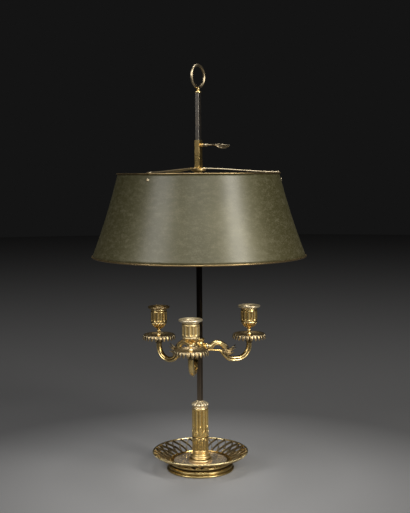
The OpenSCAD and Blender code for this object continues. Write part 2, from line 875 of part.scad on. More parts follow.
module candle_arm(k) {
    cup_z = pan_seat - pan_t + arm_lifts[k];
    neck_r = arm_d / 2 + 0.3;
    neck_down = cup_z - cup_h + bend_drop + 1.1;
    color(gilt)
        rotate([0, 0, arm_angles[k]])
            translate([0, 0, cluster_z]) {
                difference() {
                    union() {
                        arm_sweep();
                        translate([arm_reach, 0, cup_z - cup_h])
                            rotate_extrude()
                                polygon([
                                    [0, -neck_down], [neck_r, -neck_down], [neck_r, 0],
                                    [cup_r - 0.4, 1.4], [cup_r, 2.6],
                                    [cup_r - 1.2, 4], [cup_r - 1.6, 6],
                                    [cup_r, cup_h - 1.4], [cup_r, cup_h],
                                    [0, cup_h]
                                ]);
                    }
                    translate([0, 0, -4 * candle_hub_r])
                        cylinder(h = 8 * candle_hub_r, r = candle_hub_r);
                    translate([arm_reach, 0, cup_z - stud_down])
                        cylinder(h = stud_down + cut, r = stud_hole_r);
                }
                translate([candle_hub_r - 2.4, 0, 0])
                    rotate([0, 90, 0]) cylinder(h = 5, r = tenon_r);
            }
}

// ---------------------------------------------------------- pans and nozzles

// Puts its children on the axis of candle k, with z = 0 at the pan's well
module at_candle(k) {
    rotate([0, 0, arm_angles[k]])
        translate([arm_reach, 0, well_z(k)]) children();
}

module drip_pan(k) {
    rim_out = pan_d / 2;
    rim_in = rim_out - 2.6;
    well_r = rim_in * 0.66;
    color(gilt)
        at_candle(k)
            difference() {
                turned([
                    [0, -pan_t], [well_r, -pan_t],
                    [rim_in - 2, pan_depth - pan_t - 1.2],
                    [rim_in - 0.6, pan_depth - pan_t - 0.6],
                    [rim_out - 1.4, pan_depth - tongue_h],
                    [rim_out, pan_depth - tongue_h],
                    [rim_out - 0.4, pan_depth - tongue_h * 0.4],
                    [rim_in + 1, pan_depth], [rim_in - 0.6, pan_depth],
                    [rim_in - 2, pan_depth - 1], [well_r, 0], [0, 0]
                ]);
                translate([0, 0, -pan_t - cut])
                    cylinder(h = pan_t + 2 * cut, r = stud_hole_r);
                for (i = [0:tongues - 1])
                    rotate([0, 0, 360 * i / tongues])
                        translate([rim_out - 2.4, 0, pan_depth - tongue_h - 1.4])
                            rotate([45, 0, 0])
                                translate([0, -2.2, -2.2]) cube([4.4, 4.4, 4.4]);
            }
}

module nozzle(k) {
    ball_low_r = 3.4;
    ball_high_r = 2.7;
    ball_high_z = 2 * ball_low_r + ball_high_r + 0.3;
    neck_z = ball_high_z + ball_high_r;
    calyx_z = nozzle_h * 0.46;
    body_r = nozzle_d / 2;
    cup_bore_r = candle_d / 2 + bobeche_wall + slide_gap;
    cup_floor = calyx_z + 3.6;
    color(gilt)
        at_candle(k)
            difference() {
                union() {
                    turned([
                        [0, 0], [2.4, 0], [2, neck_z - ball_high_r],
                        [1.8, neck_z], [3.4, neck_z + 2],
                        [body_r * 0.62, neck_z + 4.6],
                        [body_r * 0.84, calyx_z - 2.6],
                        [body_r * 0.9, calyx_z], [0, calyx_z]
                    ]);
                    translate([0, 0, ball_low_r + 0.1]) sphere(ball_low_r);
                    translate([0, 0, ball_high_z]) sphere(ball_high_r);
                    turned([
                        [0, calyx_z], [body_r - 0.6, calyx_z],
                        [body_r - 0.2, calyx_z + 0.8],
                        [body_r - 0.8, calyx_z + 2],
                        [body_r, calyx_z + 3], [body_r, nozzle_h - 4.4],
                        [body_r - 0.8, nozzle_h - 3.4],
                        [body_r - 0.4, nozzle_h - 1.6],
                        [body_r - 1, nozzle_h], [0, nozzle_h]
                    ]);
                }
                translate([0, 0, cup_floor])
                    cylinder(h = nozzle_h - cup_floor + cut, r = cup_bore_r);
                translate([0, 0, -cut]) cylinder(h = stud_up + cut, r = stud_hole_r);
                for (i = [0:nozzle_flutes - 1])
                    rotate([0, 0, 360 * (i + 0.5) / nozzle_flutes])
                        flute(
                            body_r, nozzle_flute_w, nozzle_flute_depth,
                            calyx_z + 3.6, nozzle_h - 5
                        );
            }
}

module nozzle_stud(k) {
    color(steel)
        at_candle(k)
            translate([0, 0, 0.5 - pan_t - stud_down])
                cylinder(h = stud_down + pan_t + stud_up - 1, r = stud_r);
}

module bobeche(k) {
    hole_r = candle_d / 2;
    tube_r = hole_r + bobeche_wall;
    rim_r = bobeche_d / 2;
    bead_z = bobeche_t * 0.7;
    color(gilt)
        at_candle(k)
            translate([0, 0, nozzle_h])
                difference() {
                    turned([
                        [0, -bobeche_len], [tube_r, -bobeche_len], [tube_r, 0],
                        [nozzle_d / 2 - 2, 0], [rim_r - 1.2, bobeche_t * 0.28],
                        [rim_r, bobeche_t * 0.52], [rim_r - 0.2, bobeche_t * 0.8],
                        [rim_r - 1, bobeche_t], [rim_r - 2.2, bobeche_t * 0.9],
                        [hole_r + 2, bead_z - 0.3], [hole_r + 0.4, bead_z],
                        [0, bead_z]
                    ]);
                    translate([0, 0, -bobeche_len - cut])
                        cylinder(h = bobeche_len + bobeche_t + 2 * cut, r = hole_r);
                }
}

// ------------------------------------------------------------------- output

base_dish();
gallery();
gallery_rim();
column_base();
column();
column_cap();
rod();
rod_washer();
rod_nut();
finial_collar();
finial_ring();
shade_sleeve();
shade_hub();
spider_arm(spider_angles[0]);  // spider_arm_1
spider_arm(spider_angles[1]);  // spider_arm_2
spider_arm(spider_angles[2]);  // spider_arm_3
spider_rivets();
shade_key();
shade_body();
shade_top_rim();
shade_bottom_rim();
shade_screws();
shade_nuts();
candle_hub();
candle_key();
candle_arm(0);  // candle_arm_1
candle_arm(1);  // candle_arm_2
candle_arm(2);  // candle_arm_3
drip_pan(0);  // drip_pan_1
drip_pan(1);  // drip_pan_2
drip_pan(2);  // drip_pan_3
nozzle(0);  // nozzle_1
nozzle(1);  // nozzle_2
nozzle(2);  // nozzle_3
nozzle_stud(0);  // nozzle_stud_1
nozzle_stud(1);  // nozzle_stud_2
nozzle_stud(2);  // nozzle_stud_3
bobeche(0);  // bobeche_1
bobeche(1);  // bobeche_2
bobeche(2);  // bobeche_3
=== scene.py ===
from math import asin, atan, atan2, cos, hypot, pi, radians, sin, tau

import bmesh
import bpy
import numpy as np
from mathutils import Matrix, Vector


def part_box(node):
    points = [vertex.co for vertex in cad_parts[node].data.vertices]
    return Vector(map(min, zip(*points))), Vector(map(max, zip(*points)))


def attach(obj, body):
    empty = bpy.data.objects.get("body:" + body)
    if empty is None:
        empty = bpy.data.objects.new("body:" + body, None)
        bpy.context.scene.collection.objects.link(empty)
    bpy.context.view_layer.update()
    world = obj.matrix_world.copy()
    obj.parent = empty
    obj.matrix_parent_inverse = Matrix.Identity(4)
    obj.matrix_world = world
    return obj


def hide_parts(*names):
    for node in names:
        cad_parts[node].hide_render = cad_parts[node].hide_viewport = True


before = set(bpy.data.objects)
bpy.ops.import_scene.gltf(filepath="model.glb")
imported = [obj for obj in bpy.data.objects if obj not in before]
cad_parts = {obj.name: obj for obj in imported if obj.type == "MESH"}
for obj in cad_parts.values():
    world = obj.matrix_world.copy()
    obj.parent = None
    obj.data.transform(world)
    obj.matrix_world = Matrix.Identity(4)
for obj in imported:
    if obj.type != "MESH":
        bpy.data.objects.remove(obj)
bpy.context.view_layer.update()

# Sizes are in millimetres and become metres where a mesh is made.
MM = 0.001
CANDLES = (1, 2, 3)
SPIDER_ANGLES = (-90, 30, 150)
# The column and the nozzles have as many flutes.
FLUTES = 12
COLUMN_TURN = radians(20.4)
# The width of a usual groove, in metres.
GROOVE = 0.0012
# The shade's radius at its upper edge, its slope there and how that grows further down.
SHADE_TOP_R, SHADE_SLOPE, SHADE_FLARE = 131.2, 0.249, 0.00053
SCREW_DROP = 10.5
ARM_REACH = 89.5


# --- sizes from the frame

def span(node):
    """Lowest and highest height and the middle of a CAD node, in mm."""
    low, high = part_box(node)
    return low.z / MM, high.z / MM, (low + high) / (2 * MM)


def reach(node):
    """Half the width of a CAD node along X, in mm."""
    low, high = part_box(node)
    return (high.x - low.x) / (2 * MM)


def candle_place(k):
    """Middle of nozzle k, its turn round the rod and the height of its seat."""
    low, _, middle = span(f"nozzle_{k}")
    return middle.x, middle.y, atan2(middle.y, middle.x), low


# --- outlines

def arc(r, z, size, start, end, steps=10):
    """Points of an arc about (r, z), with its angles in degrees."""
    turns = np.radians(np.linspace(start, end, steps))
    return [(r + size * cos(t), z + size * sin(t)) for t in turns]


def raised(points, z, r=0.0):
    """An outline moved up by z and outwards by r."""
    return [(x + r, y + z) for x, y in points]


def rounded(points, size, steps=4):
    """A closed outline with each corner rounded off."""
    points = [np.array(p, float) for p in points]
    result = []
    for i, corner in enumerate(points):
        back, ahead = points[i - 1] - corner, points[(i + 1) % len(points)] - corner
        cut = min(size, 0.45 * np.linalg.norm(back), 0.45 * np.linalg.norm(ahead))
        start = corner + back / np.linalg.norm(back) * cut
        end = corner + ahead / np.linalg.norm(ahead) * cut
        for t in np.linspace(0, 1, steps):
            result.append((1 - t) ** 2 * start + 2 * t * (1 - t) * corner + t * t * end)
    return result


def smoothed(points, steps):
    """Points of a smooth open curve through the given points."""
    points = np.array(points, float)
    known = np.r_[0, np.cumsum(np.linalg.norm(np.diff(points, axis=0), axis=1))]
    wanted = np.linspace(0, known[-1], steps)
    slopes = np.gradient(points, known, axis=0)
    cell = np.clip(np.searchsorted(known, wanted, "right") - 1, 0, len(known) - 2)
    width = (known[cell + 1] - known[cell])[:, None]
    t = ((wanted - known[cell]) / width[:, 0])[:, None]
    start, end = points[cell], points[cell + 1]
    leave, arrive = slopes[cell] * width, slopes[cell + 1] * width
    return ((2 * t**3 - 3 * t**2 + 1) * start + (t**3 - 2 * t**2 + t) * leave
            + (3 * t**2 - 2 * t**3) * end + (t**3 - t**2) * arrive)


def groove_depth(away, width, depth):
    """Depth of a round-bottomed groove at a distance from its middle line."""
    size = (width**2 / 4 + depth**2) / (2 * depth)
    return np.maximum(np.sqrt(np.clip(size**2 - away**2, 0, None)) - size + depth, 0)


def ridge(away, width, power=2):
    """Height of a ridge, 1 in its middle, at a distance from its middle line."""
    return np.exp(-((away / width) ** power))


def boxy(wave):
    """A sine or cosine made squarer, for a flat bar's section."""
    return np.sign(wave) * np.abs(wave) ** 0.3


def sector(angle, count, first=0.0):
    """Where an angle lies in its own one of count equal sectors, from -0.5 to 0.5."""
    return ((angle - first) * count / tau + 0.5) % 1.0 - 0.5


def circle(steps):
    """Angles set evenly round a circle."""
    return np.arange(steps) * tau / steps


def normals(path):
    """The normals to the left of a path in the XZ plane."""
    along = np.gradient(path, axis=0)
    along /= np.linalg.norm(along, axis=1)[:, None]
    return np.stack([-along[:, 1], along[:, 0]], 1)


def beside(path, out, across):
    """Points at the distances out to the left of a path and across along Y."""
    left = normals(path)
    return np.stack([path[:, :1] + left[:, :1] * out, across,
                     path[:, 1:] + left[:, 1:] * out], -1)


# --- shells

def grid_shell(points, close_rows=False):
    """A shell from rows of points, each row a closed loop. Open ends are capped."""
    rows, columns = points.shape[:2]
    index = np.arange(rows * columns).reshape(rows, columns)
    ahead = np.roll(index, -1, axis=1)
    last = rows if close_rows else rows - 1
    faces = [
        (index[j, i], ahead[j, i], ahead[(j + 1) % rows, i], index[(j + 1) % rows, i])
        for j in range(last) for i in range(columns)]
    if not close_rows:
        faces += [tuple(index[0][::-1]), tuple(index[-1])]
    return points.reshape(-1, 3), faces


def turned(outline, steps, push=None):
    """A closed outline of (radius, height) turned about the axis. push(angle,
    radius, height) gives how far each point moves outwards."""
    outline = np.array(outline, float)
    angle = circle(steps)[None, :]
    r, z = outline[:, :1], outline[:, 1:]
    radius = r + (push(angle, r, z) if push else 0) + 0 * angle
    points = np.stack([radius * np.cos(angle), radius * np.sin(angle), z + 0 * radius], -1)
    return grid_shell(points, close_rows=True)


def swept(path, section, steps):
    """A closed bar along a path in the XZ plane. section(share, c, s) turns the cosine
    and sine round the bar into offsets to the left of the path and along Y."""
    share = np.linspace(0, 1, len(path))[:, None]
    angle = circle(steps)[None, :]
    out, across = (offset + 0 * (share + angle)
                   for offset in section(share, np.cos(angle), np.sin(angle)))
    return grid_shell(beside(np.array(path, float), out, across))


def leaf(spine, half_width, thick, lobes, notch, cup, vein=0.35, across=13, along=36):
    """A cast leaf along a smooth spine in the XZ plane, with cut lobes, a midrib
    and veins. half_width(share) is half its width, and cup bends its sides up."""
    path = smoothed(spine, along)
    share = np.linspace(0, 1, along)[:, None]
    u = np.linspace(-1, 1, across)[None, :]
    saw = (share * lobes - 0.45 * np.abs(u)) % 1.0
    edge = 1 - notch * (1 - saw) * np.clip(2.2 * np.abs(u) - 1.0, 0, 1)
    side = u * half_width(share) * edge
    relief = vein * (ridge(u, 0.16) * 0.5 + 0.6 * np.sin(pi * saw) * np.abs(u) ** 0.7)
    height = cup * u**2 * half_width(share) + relief
    wall = thick * np.clip(1.15 - share**3, 0.2, 1) * np.clip(1.2 - u**4, 0.25, 1)
    top = beside(path, height + wall / 2, side)
    under = beside(path, height - wall / 2 - relief, side)
    return grid_shell(np.concatenate([top, under[:, ::-1]], axis=1))


def ball(centre, size, steps):
    """A sphere as a closed shell."""
    turns = np.linspace(0.04, pi - 0.04, steps // 2 + 1)[:, None]
    angle = circle(steps)[None, :]
    points = np.stack([np.sin(turns) * np.cos(angle), np.sin(turns) * np.sin(angle),
                       np.cos(turns) + 0 * angle], -1)
    return grid_shell(points * size / 2 + np.array(centre, float))


def moved(shell, turn, shift=(0, 0, 0)):
    """A shell turned about the upright axis and then shifted."""
    c, s = cos(turn), sin(turn)
    rotation = np.array([[c, s, 0], [-s, c, 0], [0, 0, 1]])
    return shell[0] @ rotation + np.array(shift, float), shell[1]


def square_loop(half, corner, steps=5):
    """A level square with rounded corners, as (x, y) points."""
    turns = np.linspace(0, pi / 2, steps)
    arc_x, arc_y = half - corner * (1 - np.cos(turns)), half - corner * (1 - np.sin(turns))
    x = np.r_[half, arc_x, arc_x[-1] - corner * 0.7]
    y = np.r_[arc_y[0] - corner * 0.7, arc_y, half]
    loop = np.stack([x, y], 1)
    return np.concatenate([loop @ np.array([[c, s], [-s, c]])
                           for c, s in ((1, 0), (0, 1), (-1, 0), (0, -1))])


def round_loop(radius, like):
    """A level circle with its points at the same angles as another loop."""
    angle = np.arctan2(like[:, 1], like[:, 0])
    return np.stack([radius * np.cos(angle), radius * np.sin(angle)], 1)


def stacked(loops, close_rows=False):
    """A closed shell from (height, loop) pairs."""
    return grid_shell(np.array([[(x, y, z) for x, y in loop] for z, loop in loops]), close_rows)


def turned_x(outline, steps=32):
    """A solid turned about X from (x, radius) points, with flat ends."""
    return grid_shell(np.array([
        [(x, r * cos(t), r * sin(t)) for t in circle(steps)] for x, r in outline]))


# --- pieces

def mark_hollows(mesh, size, flutes):
    """Keeps in the attribute 'hollow' how deep each point lies in its surroundings,
    from -1 on a sharp edge to 1 in a groove. size is the width of a groove in m.
    flutes, a middle, a radius in mm and a strength, deepens the flutes of a shaft, so that they
    take more grime and painted shade."""
    def read(items, key, values):
        items.foreach_get(key, values)
        return values

    count = len(mesh.vertices)
    co = read(mesh.vertices, "co", np.empty(count * 3)).reshape(-1, 3)
    normal = read(mesh.vertices, "normal", np.empty(count * 3)).reshape(-1, 3)
    ends = read(mesh.edges, "vertices", np.empty(len(mesh.edges) * 2, int))
    a, b = ends[0::2], ends[1::2]
    length = np.linalg.norm(co[a] - co[b], axis=1)
    weight = ridge(length, size)
    own = 0.2
    total = np.bincount(a, weight, count) + np.bincount(b, weight, count) + own

    def spread(values):
        result = own * values
        for axis in range(values.shape[1]):
            result[:, axis] += (np.bincount(a, weight * values[b, axis], count)
                                + np.bincount(b, weight * values[a, axis], count))
        return result / total[:, None]

    rounds = int(np.clip((size / max(np.median(length), 1e-6)) ** 2 / 4, 2, 14))
    flat = co
    for _ in range(rounds):
        flat = 0.5 * flat + 0.5 * spread(flat)
    depth = ((flat - co) * normal).sum(1) / size
    depth = np.clip(depth * 9, -1, 1)[:, None]
    depth = 0.5 * depth + 0.5 * spread(depth)
    if flutes:
        (x, y), radius, strength = flutes
        inside = (radius - np.hypot(co[:, 0] / MM - x, co[:, 1] / MM - y))[:, None]
        # Painted shade, with grime, deepened in the flutes.
        depth += (inside < 1.9) * strength * (np.clip(inside / 1.5, 0, 1) - 0.45)
    attribute = mesh.attributes.new("hollow", "FLOAT", "POINT")
    attribute.data.foreach_set("value", depth.ravel().astype(np.float32))


def put_in_scene(name, data):
    """A new object in the scene, still without a body or a finish."""
    item = bpy.data.objects.new(name, data)
    bpy.context.scene.collection.objects.link(item)
    return item


def face_outwards(mesh, closed_only=False):
    """Turns a mesh's faces outwards and shades it smooth. With closed_only its doubles
    are merged first, and an open sheet's faces stay as they are."""
    work = bmesh.new()
    work.from_mesh(mesh)
    if closed_only:
        bmesh.ops.remove_doubles(work, verts=work.verts, dist=1e-6)
    if not closed_only or all(edge.is_manifold for edge in work.edges):
        bmesh.ops.recalc_face_normals(work, faces=work.faces)
    work.to_mesh(mesh)
    work.free()
    mesh.shade_smooth()
    return mesh


def mesh_of(name, shells):
    """One mesh from shells in mm, with its faces pointing outwards."""
    points, faces, first = [], [], 0
    for shell_points, shell_faces in shells:
        points.append(np.asarray(shell_points) * MM)
        faces += [tuple(int(i) + first for i in face) for face in shell_faces]
        first += len(shell_points)
    mesh = bpy.data.meshes.new(name)
    mesh.from_pydata(np.concatenate(points).tolist(), [], faces)
    return face_outwards(mesh)


def bare(name, shells):
    """A piece from shells, still without a body or a finish."""
    return put_in_scene(name + "_detail", mesh_of(name, shells))


def settle(piece, body, groove=GROOVE, flutes=None, nodes=None):
    """Marks a finished piece's hollows and ties it to its body.
    It replaces the CAD node of its own name, unless other nodes or none are given."""
    mark_hollows(piece.data, groove, flutes)
    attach(piece, body)
    nodes = [piece.name.removesuffix("_detail")] if nodes is None else nodes
    if nodes:
        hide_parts(*nodes)


def make(name, shells, body, finish, groove=GROOVE, flutes=None, nodes=None):
    """A piece from shells. finish is the pair of material and slot."""
    piece = bare(name, shells)
    piece.data.materials.append(finish[0])
    settle(piece, body, groove, flutes, nodes)


def dress_two(piece, main, other, chosen):
    """Two materials on one piece: the other where chosen(face) holds."""
    piece.data.materials.clear()
    piece.data.materials.append(main)
    piece.data.materials.append(other)
    for face in piece.data.polygons:
        face.material_index = 1 if chosen(face) else 0


def in_well(x, y, radius, height):
    """Chooses the faces above a height and within a radius of (x, y), in mm."""
    return lambda face: (face.center.z > height * MM and radius * MM
                         > hypot(face.center.x - x * MM, face.center.y - y * MM))


def finished_mesh(piece):
    """A plain mesh of a piece with its modifiers applied."""
    bpy.context.view_layer.update()
    evaluated = piece.evaluated_get(bpy.context.evaluated_depsgraph_get())
    return bpy.data.meshes.new_from_object(evaluated)


# --- node helpers

def reckoning(operation):
    """A method that puts a Math node on an output and another value."""
    return lambda output, other: output.maths(operation, other)


class Output:
    """A node's output. A sum or product written with it becomes a Math node."""

    def __init__(self, tree, socket):
        self.tree = tree
        self.socket = socket

    def maths(self, operation, other=None, **settings):
        values = {0: self} if other is None else {0: self, 1: other}
        return add(self.tree, "ShaderNodeMath", values, operation=operation, **settings)

    __add__ = reckoning("ADD")
    __sub__ = reckoning("SUBTRACT")
    __mul__ = reckoning("MULTIPLY")
    __truediv__ = reckoning("DIVIDE")


def plug(socket, value):
    """Links a node's output to a socket, or sets the socket to a plain value."""
    if isinstance(value, Output):
        value.tree.links.new(value.socket, socket)
    else:
        socket.default_value = value


def add(tree, kind, inputs=None, out=0, **settings):
    """A new node with its settings and inputs in place, as one of its outputs."""
    node = tree.nodes.new(kind)
    for name, value in settings.items():
        setattr(node, name, value)
    for key, value in (inputs or {}).items():
        plug(node.inputs[key], value)
    return Output(tree, node.outputs[out])


def split(vector):
    """The X, Y and Z of a vector."""
    x = add(vector.tree, "ShaderNodeSeparateXYZ", {0: vector})
    return [Output(x.tree, socket) for socket in x.socket.node.outputs]


def joined(tree, x, y, z):
    """A vector from its X, Y and Z."""
    return add(tree, "ShaderNodeCombineXYZ", {0: x, 1: y, 2: z})


# Every socket that isn't named here takes a plain number.
SOCKET_KINDS = {"Geometry": "Geometry", "Material": "Material", "Count": "Int",
                "Metal": "Color", "Worn": "Color", "Dirt And Shade": "Color", "Colour": "Color"}


def new_tree(kind, name, inputs, outputs):
    """A node tree with named inputs and outputs, its inputs by name, and its end."""
    tree = bpy.data.node_groups.new(name, kind)
    for way, labels in (("INPUT", inputs), ("OUTPUT", outputs)):
        for label in labels:
            socket_type = "NodeSocket" + SOCKET_KINDS.get(label, "Float")
            tree.interface.new_socket(label, in_out=way, socket_type=socket_type)
    start, end = tree.nodes.new("NodeGroupInput"), tree.nodes.new("NodeGroupOutput")
    return tree, {socket.name: Output(tree, socket) for socket in start.outputs}, end


# --- geometry nodes

def shape_tree(name, shape, *labels):
    """A geometry node tree. shape(tree, inputs) makes its geometry from the inputs of
    the given names, and the tree ends in real faces that carry its material."""
    inputs = dict.fromkeys(["Geometry", "Material", *labels])
    tree, given, end = new_tree("GeometryNodeTree", name, inputs, ["Geometry"])
    geometry = shape(tree, *[given[label] for label in labels])
    real = add(tree, "GeometryNodeRealizeInstances", {0: geometry})
    paint = add(tree, "GeometryNodeSetMaterial", {0: real, "Material": given["Material"]})
    plug(end.inputs[0], paint)
    return tree


def step_of(count):
    """The angle between neighbours when count of them stand in a ring."""
    return add(count.tree, "ShaderNodeMath", {0: tau, 1: count}, operation="DIVIDE")


def ring_copies(tree, count, first, geometry):
    """Copies of the geometry, evenly turned about the upright axis."""
    line = add(tree, "GeometryNodeMeshLine", {"Offset": (0, 0, 0), "Count": count})
    angle = add(tree, "GeometryNodeInputIndex") * step_of(count) + first
    return add(tree, "GeometryNodeInstanceOnPoints", {
        "Points": line, "Instance": geometry, "Rotation": joined(tree, 0, 0, angle)})


def beads(tree, count, first, ring_radius, bead_radius, height):
    """Beads set edge to edge along a level circle."""
    bead = add(tree, "GeometryNodeMeshUVSphere",
               {"Segments": 8, "Rings": 6, "Radius": bead_radius})
    bead = add(tree, "GeometryNodeTransform",
               {"Geometry": bead, "Translation": joined(tree, ring_radius, 0, height)})
    return ring_copies(tree, count, first, bead)


def arches(tree, count, first, inner, outer, foot, rise, power, width, thickness, weave):
    """Interlaced pointed arches on a flared wall. Each leg starts at the foot of an
    arch, leans over one step and crosses its neighbour half way."""
    points, corner = 15, 0.0002
    flat = add(tree, "GeometryNodeCurvePrimitiveQuadrilateral",
               {"Width": width, "Height": thickness})
    section = add(tree, "GeometryNodeFilletCurve",
                  {"Count": 2, "Radius": corner, "Curve": flat}, mode="POLY")
    depth = outer - inner
    step = step_of(count)
    x, y, _ = split(add(tree, "GeometryNodeInputPosition"))
    steep = rise / depth
    away = (x * x + y * y).maths("SQRT")
    upright = add(tree, "ShaderNodeVectorMath",
                  {0: joined(tree, x * steep, y * steep, away * -1.0)}, operation="NORMALIZE")
    join = tree.nodes.new("GeometryNodeJoinGeometry")
    for side in (-1.0, 1.0):
        line = add(tree, "GeometryNodeMeshLine", {"Count": points, "Offset": (0, 0, 0.001)})
        share = add(tree, "GeometryNodeInputIndex") / (points - 1.0)
        up = share.maths("POWER", power)
        turn = share * step * side
        radius = up * depth + inner
        wave = (share * tau).maths("SINE") * weave * side
        place = joined(tree, radius * turn.maths("COSINE"), radius * turn.maths("SINE"),
                       up * rise + foot + wave)
        leg = add(tree, "GeometryNodeSetPosition", {"Geometry": line, "Position": place})
        leg = add(tree, "GeometryNodeMeshToCurve", {0: leg})
        leg = add(tree, "GeometryNodeSetCurveNormal",
                  {"Curve": leg, "Normal": upright}, mode="FREE")
        plug(join.inputs[0], add(tree, "GeometryNodeCurveToMesh", {
            "Fill Caps": True, "Curve": leg, "Profile Curve": section}))
    return ring_copies(tree, count, first, Output(tree, join.outputs[0]))


def flared_sheet(tree, top_radius, top_height, depth, slope, flare):
    """A flared sheet turned about the rod: its radius grows with the distance
    below its upper edge, a little faster further down."""
    tube = add(tree, "GeometryNodeMeshCylinder", {
        "Vertices": 192, "Side Segments": 36, "Radius": 1.0, "Depth": 1.0}, fill_type="NONE")
    x, y, z = split(add(tree, "GeometryNodeInputPosition"))
    down = (z * -1.0 + 0.5) * depth
    radius = down * down * flare + top_radius + down * slope
    place = joined(tree, x * radius, y * radius, top_height - down)
    return add(tree, "GeometryNodeSetPosition", {"Geometry": tube, "Position": place})


RING = shape_tree("ring of copies", ring_copies, "Count", "First Angle", "Geometry")
BEADS = shape_tree("beads on a rim", beads, "Count", "First Angle", "Ring Radius",
                   "Bead Radius", "Height")
ARCHES = shape_tree("interlaced arches", arches, "Count", "First Angle", "Inner Radius",
                    "Outer Radius", "Foot Height", "Rise", "Shape", "Bar Width",
                    "Bar Thickness", "Weave")
SHEET = shape_tree("flared sheet", flared_sheet, "Top Radius", "Top Height", "Depth",
                   "Slope", "Flare")


def grown(name, tree, values, shells=()):
    """A plain mesh object made by a node tree, from its named input values."""
    seed = put_in_scene(name + ".seed", mesh_of(name, shells) if shells
                        else bpy.data.meshes.new(name))
    modifier = seed.modifiers.new("grow", "NODES")
    modifier.node_group = tree
    for item in tree.interface.items_tree:
        if item.in_out == "INPUT" and item.name in values:
            modifier[item.identifier] = values[item.name]
    mesh = finished_mesh(seed)
    bpy.data.objects.remove(seed)
    mesh.name = name
    mesh.materials.clear()
    mesh.materials.append(values["Material"])
    mesh.polygons.foreach_set("material_index", [0] * len(mesh.polygons))
    return put_in_scene(name + "_detail", face_outwards(mesh, closed_only=True))


def ring_of(name, shells, count, first, body, finish, groove=GROOVE, nodes=None,
            place=(0, 0, 0)):
    """A ring of equal copies as one piece. Its points move to the place, in mm, so
    that its object stays at the origin."""
    piece = grown(name, RING, {
        "Count": count, "First Angle": first, "Material": finish[0]}, shells)
    settle(piece, body, groove, None, nodes)
    piece.data.transform(Matrix.Translation(Vector(place) * MM))


# --- materials

def ramp(value, low, high, to_low=0.0, to_high=1.0):
    """The value mapped from one range to another, held at its ends."""
    return add(value.tree, "ShaderNodeMapRange", {
        "Value": value, "From Min": low, "From Max": high, "To Min": to_low,
        "To Max": to_high})


def blended(share, first, second):
    """Two colours mixed by a share, each an output or a plain colour."""
    return add(share.tree, "ShaderNodeMix", {0: share, 6: first, 7: second}, 2,
               data_type="RGBA")


def object_place(tree):
    """Object coordinates."""
    return add(tree, "ShaderNodeTexCoord", out="Object")


def noise(tree, scale, detail=4.0, stretch=None, rough=0.55):
    """Noise on object coordinates."""
    place = object_place(tree)
    if stretch:
        place = add(tree, "ShaderNodeMapping", {"Scale": stretch, "Vector": place})
    return add(tree, "ShaderNodeTexNoise", {
        "Vector": place, "Scale": scale, "Detail": detail, "Roughness": rough})


def patina_and_shade_group():
    """Age on metal with painted shade: grime and painted shade in the hollows, rubbed edges,
    faint spots and scratches.
    """
    group, given, end = new_tree(
        "ShaderNodeTree", "patina", ["Metal", "Worn", "Dirt And Shade", "Dirt Amount", "Blotches", "Gloss"],
        ["Colour", "Roughness", "Height"])
    depth = add(group, "ShaderNodeAttribute", out="Fac", attribute_name="hollow")
    fine = noise(group, 900.0, 5.0)
    broad = noise(group, 55.0)
    uneven = ramp(fine, 0.35, 0.7, -0.12, 0.16)
    # Grime and painted shade gather in the hollows.
    dirt_and_shade = ramp(depth + uneven, 0.04, 0.62)
    dirt_and_shade = dirt_and_shade.maths("MULTIPLY", given["Dirt Amount"], use_clamp=True)
    edge = ramp(uneven - depth, 0.1, 0.7)
    blotch = ramp(broad, 0.42, 0.68) * given["Blotches"]
    dull = blended(blotch, given["Metal"], (0.34, 0.23, 0.095, 1))
    worn = blended(edge * 0.7, dull, given["Worn"])
    rough = given["Gloss"] + ramp(fine, 0.3, 0.7, 0, 0.1) + blotch * 0.14 + dirt_and_shade * 0.3
    scratch = noise(group, 240.0, 6.0, (1.0, 1.0, 0.18), 0.7)
    plug(end.inputs["Colour"], blended(dirt_and_shade, worn, given["Dirt And Shade"]))
    plug(end.inputs["Roughness"], rough)
    plug(end.inputs["Height"], scratch + fine * 0.5)
    return group


def principled(name, metallic):
    """A new material with its tree and the inputs of its shader."""
    material = bpy.data.materials.new(name)
    material.use_nodes = True
    inputs = material.node_tree.nodes["Principled BSDF"].inputs
    inputs["Metallic"].default_value = metallic
    return material, material.node_tree, inputs


def dress_shader(inputs, colour, rough, height, strength, distance):
    """Gives a shader its colour and roughness, and a bump from a height."""
    plug(inputs["Base Color"], colour)
    plug(inputs["Roughness"], rough)
    plug(inputs["Normal"], add(height.tree, "ShaderNodeBump", {
        "Strength": strength, "Distance": distance, "Height": height}))


PATINA_AND_SHADE = patina_and_shade_group()


def metal(name, main, worn, dirt_and_shade, blotches, gloss, dirt_and_shade_amount=1.0, bump=0.12,
          metallic=1.0, painted_rod_shadow=False):
    """A metal finish from the node group for age and painted shade. Below 1, metallic makes it a
    little matt.
    With its last flag set, a long upright piece gets a painted shadow, near black, in its middle
    and a painted brown reflection of the gilt below it."""
    material, tree, inputs = principled(name, metallic)
    colour = add(tree, "ShaderNodeGroup", {
        "Metal": (*main, 1), "Worn": (*worn, 1), "Dirt And Shade": (*dirt_and_shade, 1),
        "Dirt Amount": dirt_and_shade_amount, "Blotches": blotches, "Gloss": gloss}, node_tree=PATINA_AND_SHADE)
    _, rough, height = [Output(tree, socket) for socket in colour.socket.node.outputs]
    if painted_rod_shadow:
        # Painted shadow: near black where the shade hides the rod from the lamps, and a painted
        # brown reflection of the gilt lower down.
        level = split(object_place(tree))[2]
        low = blended(ramp(level, 0.12, 0.25), (0.26, 0.20, 0.14, 1), (0.022, 0.017, 0.014, 1))
        colour = blended(ramp(level, 0.34, 0.44), low, colour)
    dress_shader(inputs, colour, rough, height, bump, 0.0004)
    return material


